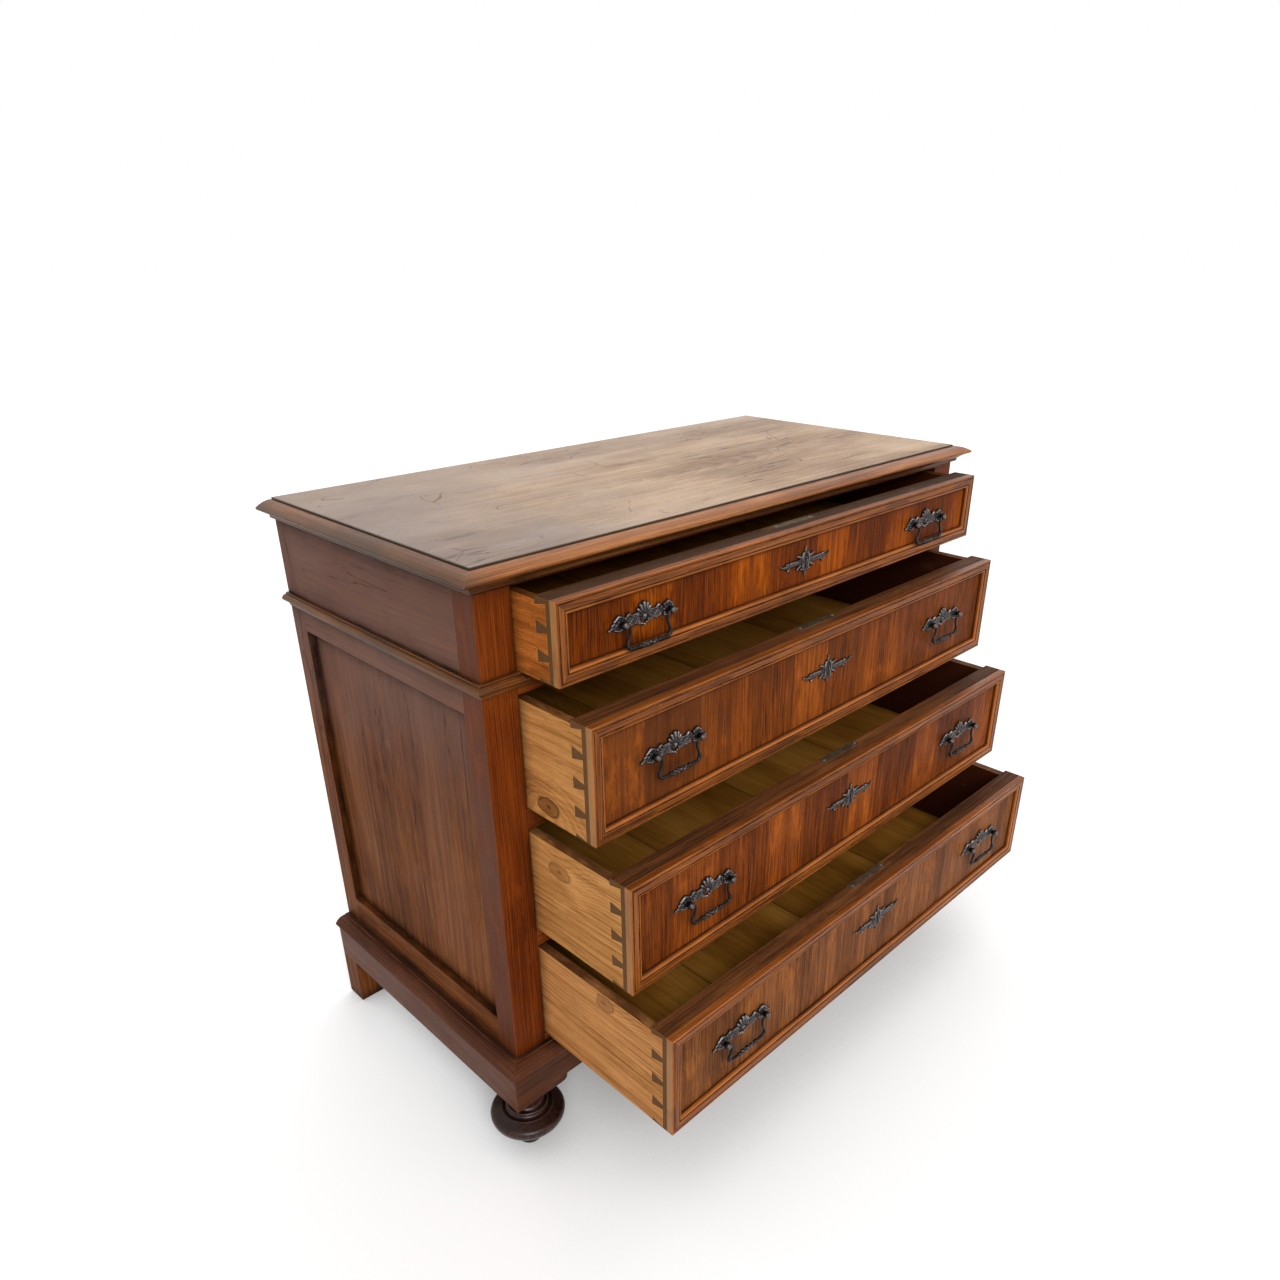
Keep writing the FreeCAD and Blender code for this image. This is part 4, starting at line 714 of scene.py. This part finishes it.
SHIELD_BARS = (
    ((0.0, 15.0), (0.0, 23.4), (3.4, 1.0), (2.4, 1.4)),
    ((0.0, 24.4), (0.0, 24.5), (1.5, 1.5), (2.2, 2.2)),
    ((0.0, 6.0), (0.0, -4.0), (7.6, 6.8), (1.6, 1.6)),
    ((5.6, 14.6), (9.0, 5.0), (2.0, 2.2), (3.0, 3.2)),
    ((9.0, 5.0), (6.0, -9.0), (2.2, 1.8), (3.2, 2.8)),
    ((3.0, 14.5), (6.0, 15.0), (2.0, 1.8), (2.8, 2.8)),
    ((0.0, -12.0), (0.0, -20.6), (3.6, 1.0), (2.6, 1.4)),
    ((0.0, -21.4), (0.0, -21.5), (1.5, 1.5), (2.2, 2.2)),
    ((4.6, -12.4), (10.6, -11.0), (2.6, 1.9), (2.8, 2.4)),
    ((10.0, 2.0), (20.0, 1.0), (5.4, 4.4), (1.8, 2.0)),
    ((12.0, 9.0), (20.6, 12.2), (2.2, 1.6), (2.8, 2.6)),
    ((13.0, -4.0), (21.0, -9.4), (2.4, 1.5), (2.8, 2.2)),
    ((20.0, 1.4), (38.0, 0.8), (4.8, 4.6), (2.8, 3.0)),
    ((24.0, 4.0), (38.6, 5.0), (1.5, 1.4), (3.4, 3.2)),
    ((36.0, 1.0), (49.0, 0.4), (4.6, 4.0), (2.6, 2.8)),
    ((42.0, -3.0), (45.0, -6.4), (2.4, 1.7), (2.8, 2.6)),
    ((45.0, 4.6), (49.0, 4.4), (2.2, 1.8), (3.0, 2.6)),
    ((50.0, 0.0), (58.0, 0.8), (3.2, 2.0), (2.4, 2.0)),
    ((58.0, 0.8), (63.6, 3.2), (1.6, 1.1), (2.0, 1.6)),
    ((64.2, 3.6), (64.3, 3.6), (1.6, 1.6), (2.2, 2.2)),
)
KEYHOLE = (((0.0, 4.0), (0.0, 4.1), (2.7, 2.7), (0.0, 0.0)),
           ((0.0, 4.0), (0.0, -7.6), (1.4, 1.4), (0.0, 0.0)))
SCREW_BARS = (((0.0, 0.0), (0.0, 0.1), (3.3, 3.3), (0.8, 0.8)),)


def bar(u, w, start, end, radii, heights):
    """Distance outside a tapering rounded bar, and the height of its dome."""
    along, up = end[0] - start[0], end[1] - start[1]
    length = along * along + up * up
    share = np.clip(((u - start[0]) * along + (w - start[1]) * up) / length, 0, 1)
    apart = np.hypot(u - start[0] - share * along, w - start[1] - share * up)
    radius = radii[0] + (radii[1] - radii[0]) * share
    height = heights[0] + (heights[1] - heights[0]) * share
    return apart - radius, height * np.sqrt(np.clip(1 - (apart / radius) ** 2, 0, 1))


def relief(u, w, bars, cuts, carve):
    """Outline distance and height of a casting at the points (u, w)."""
    outside = np.full(u.shape, np.inf)
    height = np.zeros(u.shape)
    for shape in bars:
        apart, dome = bar(np.abs(u), w, *shape)
        outside = np.minimum(outside, apart)
        height = np.maximum(height, dome)
    for shape in cuts:
        outside = np.maximum(outside, -bar(np.abs(u), w, *shape)[0])
    return outside, carve(np.abs(u), w, height) if carve else height


SMOOTHINGS, PROUD = 8, 0.7  # relief this much above its smoothed self is rubbed bright


def casting(bars, step, edge, cuts=(), carve=None):
    """Closed shell of a cast plate whose flat back lies on y = 0; the front looks to -y.

    It is a grid of the given step, whose rim is pushed onto the outline.
    """
    half = max(max(s[0], e[0]) + max(r) for s, e, r, _ in bars) + 2 * step
    low = min(min(s[1], e[1]) - max(r) for s, e, r, _ in bars) - 2 * step
    high = max(max(s[1], e[1]) + max(r) for s, e, r, _ in bars) + 2 * step
    us = np.arange(-half, half + step, step)
    ws = np.arange(low, high + step, step)
    u, w = np.meshgrid(us, ws, indexing="ij")
    outside = relief(u, w, bars, cuts, None)[0]
    middle = relief(u[:-1, :-1] + step / 2, w[:-1, :-1] + step / 2, bars, cuts, None)[0]
    kept = middle < 0
    touching = sum(np.pad(kept.astype(int), ((a, 1 - a), (b, 1 - b)))
                   for a in (0, 1) for b in (0, 1))
    rim = (touching > 0) & (touching < 4)
    slope_u, slope_w = np.gradient(outside, step)
    steep = np.maximum(np.hypot(slope_u, slope_w), 0.3)
    push = np.where(rim, np.clip(outside, -step, step) / steep, 0.0)
    u = u - push * slope_u / steep
    w = w - push * slope_w / steep
    height = relief(u, w, bars, cuts, carve)[1]
    around = height
    for _ in range(SMOOTHINGS):
        around = sum(np.roll(around, s, axis) for s in (-1, 1) for axis in (0, 1)) / 4
    proud = np.clip((height - around) / PROUD, 0, 1)
    used = touching > 0
    count = int(used.sum())
    number = np.full(u.shape, -1)
    number[used] = np.arange(count)
    front = np.stack([u[used], -(edge + height[used]), w[used]], axis=1)
    back = np.stack([u[used], np.zeros(count), w[used]], axis=1)
    faces, sides = [], {}
    for i, j in zip(*np.nonzero(kept)):
        ring = [int(number[a]) for a in ((i, j), (i + 1, j), (i + 1, j + 1), (i, j + 1))]
        faces.append(tuple(ring))
        faces.append(tuple(n + count for n in reversed(ring)))
        for a, b in zip(ring, ring[1:] + ring[:1]):
            if (b, a) in sides:
                del sides[(b, a)]
            else:
                sides[(a, b)] = True
    faces += [(b, a, a + count, b + count) for a, b in sides]
    rub = np.concatenate([proud[used], np.zeros(count)])
    return np.concatenate([front, back]), faces, rub


def plate_detail(u, w, height):
    """Lattice between shell and rose, flutes round the rose, and hollows in the shell."""
    lattice = np.maximum(np.cos((u + w) * 1.1), np.cos((u - w) * 1.1))
    inside = ((u > 9.5) & (u < 30.5) & (np.abs(w) < 5.4)).astype(float)
    height = height + inside * 2.3 * np.clip(lattice, 0, 1) ** 2
    far = np.hypot(u - 45.0, w)
    turn = np.arctan2(w, u - 45.0)
    petals = ((far > 5.0) & (far < 9.6)).astype(float)
    height = height + petals * 0.9 * np.cos(turn * 8) * np.sin((far - 5.0) / 4.6 * math.pi)
    face = np.hypot(u / 1.15, w - 1.2)
    return height - 1.6 * np.exp(-((face - 3.6) / 0.9) ** 2) * (w < 5.0)


def shield_detail(u, w, height):
    """Veins along the leaves, and a raised lip round the keyhole."""
    lip = np.exp(-((np.hypot(u, w - 4.0) - 4.0) / 0.8) ** 2) * (w > 1.0)
    lip = np.maximum(lip, np.exp(-((u - 2.9) / 0.8) ** 2) * (w < 3.0) * (w > -9.0))
    veins = 0.5 * np.cos(u * 1.5 + np.abs(w) * 1.2) * (u > 11.0)
    return height + 1.3 * lip + veins


def slot_detail(u, w, height):
    """The slot of a screw's head."""
    return np.where(np.abs(w + 0.25 * u) < 0.5, height * 0.1 - 0.4, height)


RUB_START, RUB_RISE = 15.0, 4.0  # a boss is rubbed from this depth on, fully after the rise


def lathe(profile, across, segments=20):
    """Turned piece round a line to -y; profile is (depth, radius) from the plate outwards."""
    turns = np.arange(segments) * 2 * math.pi / segments
    points, faces = [], []
    for depth, radius in profile:
        points += [(across + radius * math.cos(t), -depth, radius * math.sin(t)) for t in turns]
    for ring in range(len(profile) - 1):
        for k in range(segments):
            a, b = ring * segments + k, ring * segments + (k + 1) % segments
            faces.append((a, b, b + segments, a + segments))
    faces.append(tuple(reversed(range(segments))))
    faces.append(tuple(range(len(points) - segments, len(points))))
    depths = np.array([-p[1] for p in points])
    return np.array(points), faces, np.clip((depths - RUB_START) / RUB_RISE, 0, 1)


BALL_CENTRE, BALL_RADIUS = 13.0, 5.8
BOSS = [(1.0, 6.4), (3.4, 6.6), (4.4, 5.8), (4.8, 4.4), (6.0, 3.9), (7.4, 3.8)]
BOSS += [(BALL_CENTRE - BALL_RADIUS * math.cos(a), BALL_RADIUS * math.sin(a))
         for a in np.radians((45, 60, 75, 90, 105, 120, 135, 150, 162, 172))]


def swept(path, radii):
    """Bar along a path of (across, up) points, with a radius for each step and angle."""
    segments = len(radii[0])
    points = []
    path = np.array(path)
    ways = np.gradient(path, axis=0)
    ways /= np.linalg.norm(ways, axis=1)[:, None]
    turns = np.arange(segments) * 2 * math.pi / segments
    for step, ((u, w), (du, dw)) in enumerate(zip(path, ways)):
        for k, t in enumerate(turns):
            r = radii[step][k]
            points.append((u - dw * r * math.cos(t), r * math.sin(t), w + du * r * math.cos(t)))
    faces = []
    for ring in range(len(path) - 1):
        for k in range(segments):
            a, b = ring * segments + k, ring * segments + (k + 1) % segments
            faces.append((a, a + segments, b + segments, b))
    faces.append(tuple(range(segments)))
    faces.append(tuple(reversed(range(len(points) - segments, len(points)))))
    return np.array(points), faces


DROP = 36.0
BAIL_SIDE = ((50.8, 0.0), (44.0, 0.0), (39.6, -0.8), (36.6, -4.0), (35.4, -9.0), (36.0, -15.0),
             (38.6, -21.5), (40.9, -27.0), (40.4, -32.0), (36.4, -35.4), (31.0, -36.0))


def smoothed(points, steps):
    """Points on a smooth line through the given points."""
    ends = np.array([points[0], *points, points[-1]])
    line = []
    for before, start, stop, after in zip(ends, ends[1:], ends[2:], ends[3:]):
        for t in np.arange(steps) / steps:
            line.append(0.5 * (2 * start + (stop - before) * t
                               + (2 * before - 5 * start + 4 * stop - after) * t ** 2
                               + (3 * start - before - 3 * stop + after) * t ** 3))
    return [tuple(p) for p in line] + [tuple(points[-1])]


# half lengths on the bail's grip, the bar's greatest radius, and the sides of its section
COLLARS_END, COLLAR_AT, LEAVES_HALF, THICKEST, FACETS = 21.0, 19.0, 17.0, 4.9, 16


def bail_mesh():
    """Bail with bowed arms, thickened corners and a leafy grip between two collars."""
    side = smoothed(BAIL_SIDE, 4)
    grip_end = side[-1][0]
    grip = [(u, -DROP) for u in np.linspace(grip_end, -grip_end, 71)[1:-1]]
    path = side + grip + [(-u, w) for u, w in reversed(side)]
    turns = np.arange(FACETS) * 2 * math.pi / FACETS
    radii, rub = [], []
    for u, w in path:
        base = 1.8 + 0.3 * min(1.0, max(0.0, -w / 8.0))
        ridge = 0.0
        if w < -20.0 and abs(u) > 20.0:
            base = 2.1 + 1.0 * math.exp(-((-w - 31.0) / 5.0) ** 2)
        if w <= -DROP + 0.01 and abs(u) < COLLARS_END:
            base = 2.4 + 1.7 * math.exp(-((abs(u) - COLLAR_AT) / 1.1) ** 2)
            swell = max(0.0, 1.0 - (u / LEAVES_HALF) ** 2)
            base += 1.4 * math.sqrt(swell) * (0.8 + 0.2 * math.cos(u * 0.75))
            ridge = min(1.0, 2.0 * swell)
        row = base + ridge * np.cos(turns * 3 + abs(u) * 0.75) * (0.6 + 0.4 * math.cos(u * 1.1))
        radii.append(np.minimum(row, THICKEST))
        rub.append(0.05 + 0.8 * np.clip((row - base) / 0.8, 0, 1))
    points, faces = swept(path, radii)
    return points, faces, np.concatenate(rub)


def mesh_of(name, solids):
    """One mesh from solids given as (points in millimetres, faces, rubbed share)."""
    points, faces, rub, first = [], [], [], 0
    for solid_points, solid_faces, solid_rub in solids:
        points.append(solid_points * MM)
        faces += [tuple(n + first for n in face) for face in solid_faces]
        rub.append(solid_rub)
        first += len(solid_points)
    mesh = bpy.data.meshes.new(name)
    mesh.from_pydata([tuple(p) for p in np.concatenate(points)], [], faces)
    mesh.polygons.foreach_set("use_smooth", [True] * len(faces))
    write(mesh, "rub", np.concatenate(rub), "POINT")
    mesh.update()
    return mesh


def moved(solid, across):
    """The solid, moved that far to the right."""
    points, faces, rub = solid
    return points + np.array((across, 0.0, 0.0)), faces, rub


HANDLE_CENTRE, BOSS_OFFSET, SCREW_OFFSET = 360.0, 45.0, 43.0
plate = casting(PLATE_BARS, 0.75, 1.2, carve=plate_detail)
bosses = [lathe(BOSS, side * BOSS_OFFSET) for side in (-1, 1)]
plates = mesh_of("handle_plates", [moved(solid, side * HANDLE_CENTRE)
                                   for side in (-1, 1) for solid in [plate] + bosses])
shield = mesh_of("escutcheon", [casting(SHIELD_BARS, 0.7, 1.0, KEYHOLE, shield_detail)])
pull = mesh_of("bail", [bail_mesh()])
screw = mesh_of("screw", [casting(SCREW_BARS, 0.33, 0.15, carve=slot_detail)])
for drawer in DRAWERS:
    face_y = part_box(drawer + "_veneer_panel")[0].y
    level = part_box(drawer + "_handle_plates")[1].z - PLATE_CREST * MM
    key_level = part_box(drawer + "_escutcheon")[1].z - SHIELD_CREST * MM
    place(drawer + "_cast_plates", plates, iron, drawer, "cast_metal", (0, face_y, level),
          drawer + "_handle_plates")
    place(drawer + "_cast_shield", shield, iron, drawer, "cast_metal", (0, face_y, key_level),
          drawer + "_escutcheon")
    for side, across in (("left", -HANDLE_CENTRE), ("right", HANDLE_CENTRE)):
        node = drawer + "_bail_" + side
        place(drawer + "_pull_" + side, pull, iron, node, "cast_metal",
              (across * MM, face_y - BALL_CENTRE * MM, level), node)
    lock_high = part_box(drawer + "_lock")[1]
    for side in (-1, 1):
        place("%s_screw_%s" % (drawer, "left" if side < 0 else "right"), screw, steel, drawer,
              "steel", (side * SCREW_OFFSET * MM, lock_high.y - 7 * MM, lock_high.z - 0.1 * MM),
              tilt=-90.0)


# ---- stage, light and camera
WHITE = (1.0, 1.0, 1.0, 1.0)
FLOOR_HALF = 60.0
CONTACT_REACH = 0.32  # how far the painted soft shadow round the chest's foot reaches


def make_floor():
    """White to the camera, with the shadows kept; greyer for the light that it sends back."""
    mesh = bpy.data.meshes.new("floor")
    mesh.from_pydata([(x * FLOOR_HALF, y * FLOOR_HALF, 0)
                      for x, y in ((-1, -1), (1, -1), (1, 1), (-1, 1))], [], [(0, 1, 2, 3)])
    floor = bpy.data.objects.new("floor", mesh)
    bpy.context.scene.collection.objects.link(floor)
    g = Graph(bpy.data.materials.new("floor"))
    # painted shadow: occlusion darkens the floor's colour and glow near the chest
    near = g.add("AmbientOcclusion", {"Distance": CONTACT_REACH}, out=1, samples=8)
    tone = g.span(near, 0.2, 0.9, 0.56, 1.0)
    paint = g.add("BsdfDiffuse", {"Color": g.product(tone, 0.9)})
    glow = g.add("Emission", {"Color": WHITE, "Strength": g.product(tone, 0.26)})
    shown = g.add("AddShader", {0: paint, 1: glow})
    grey = g.add("BsdfDiffuse", {"Color": (0.4, 0.4, 0.4, 1.0)})
    mesh.materials.append(g.finish(g.add("MixShader", {0: g.direct(), 1: grey, 2: shown})))


def make_world():
    """White to the camera and in reflections; dimmer as a light."""
    world = bpy.data.worlds.new("studio")
    bpy.context.scene.world = world
    g = Graph(world)
    lit, shown = (g.add("Background", {"Color": WHITE, "Strength": s}) for s in (0.45, 1.0))
    g.finish(g.add("MixShader", {0: g.direct(), 1: lit, 2: shown}))


def make_sun(name, toward, strength, spread):
    """Soft light from far away; toward points to the light, and the spread is in degrees."""
    data = bpy.data.lights.new(name, "SUN")
    data.energy = strength * math.pi
    data.angle = math.radians(spread)
    light = bpy.data.objects.new(name, data)
    light.rotation_mode = "QUATERNION"
    light.rotation_quaternion = (-Vector(toward)).to_track_quat("-Z", "Y")
    bpy.context.scene.collection.objects.link(light)


# The photograph's camera, fitted to the chest's edges in it: millimetres, shares of the width,
# degrees of azimuth, elevation and roll, and metres. CAMERA_BEFORE starts at the posts.
SENSOR_WIDTH, LENS, SHIFT_X, SHIFT_Y = 36.0, 26.859, -0.02123, 0.06855
CAMERA_ANGLES = (-45.1176, 26.6064, -0.1815)
CAMERA_X, CAMERA_BEFORE, CAMERA_HEIGHT = -1.21305, 0.97625, 1.35024


def make_camera():
    """The camera of the photograph."""
    data = bpy.data.cameras.new("camera")
    data.sensor_width = SENSOR_WIDTH
    data.lens = LENS
    data.shift_x = SHIFT_X
    data.shift_y = SHIFT_Y
    data.clip_end = 200.0
    camera = bpy.data.objects.new("camera", data)
    azimuth, elevation, roll = (math.radians(a) for a in CAMERA_ANGLES)
    away = Vector((-math.sin(azimuth) * math.cos(elevation),
                   math.cos(azimuth) * math.cos(elevation), -math.sin(elevation)))
    right = away.cross(Vector((0, 0, 1))).normalized()
    up = right.cross(away)
    turned = right * math.cos(roll) + up * math.sin(roll)
    upright = up * math.cos(roll) - right * math.sin(roll)
    matrix = Matrix((turned, upright, -away)).transposed().to_4x4()
    matrix.translation = Vector((CAMERA_X, POST_FACE - CAMERA_BEFORE, CAMERA_HEIGHT))
    camera.matrix_world = matrix
    bpy.context.scene.collection.objects.link(camera)
    bpy.context.scene.camera = camera


make_floor()
make_world()
make_sun("key", (-0.42, -0.68, 0.6), 0.7, 35.0)
make_sun("fill", (0.6, 0.45, 0.66), 0.18, 60.0)
make_camera()
bpy.context.scene.view_settings.view_transform = "Standard"
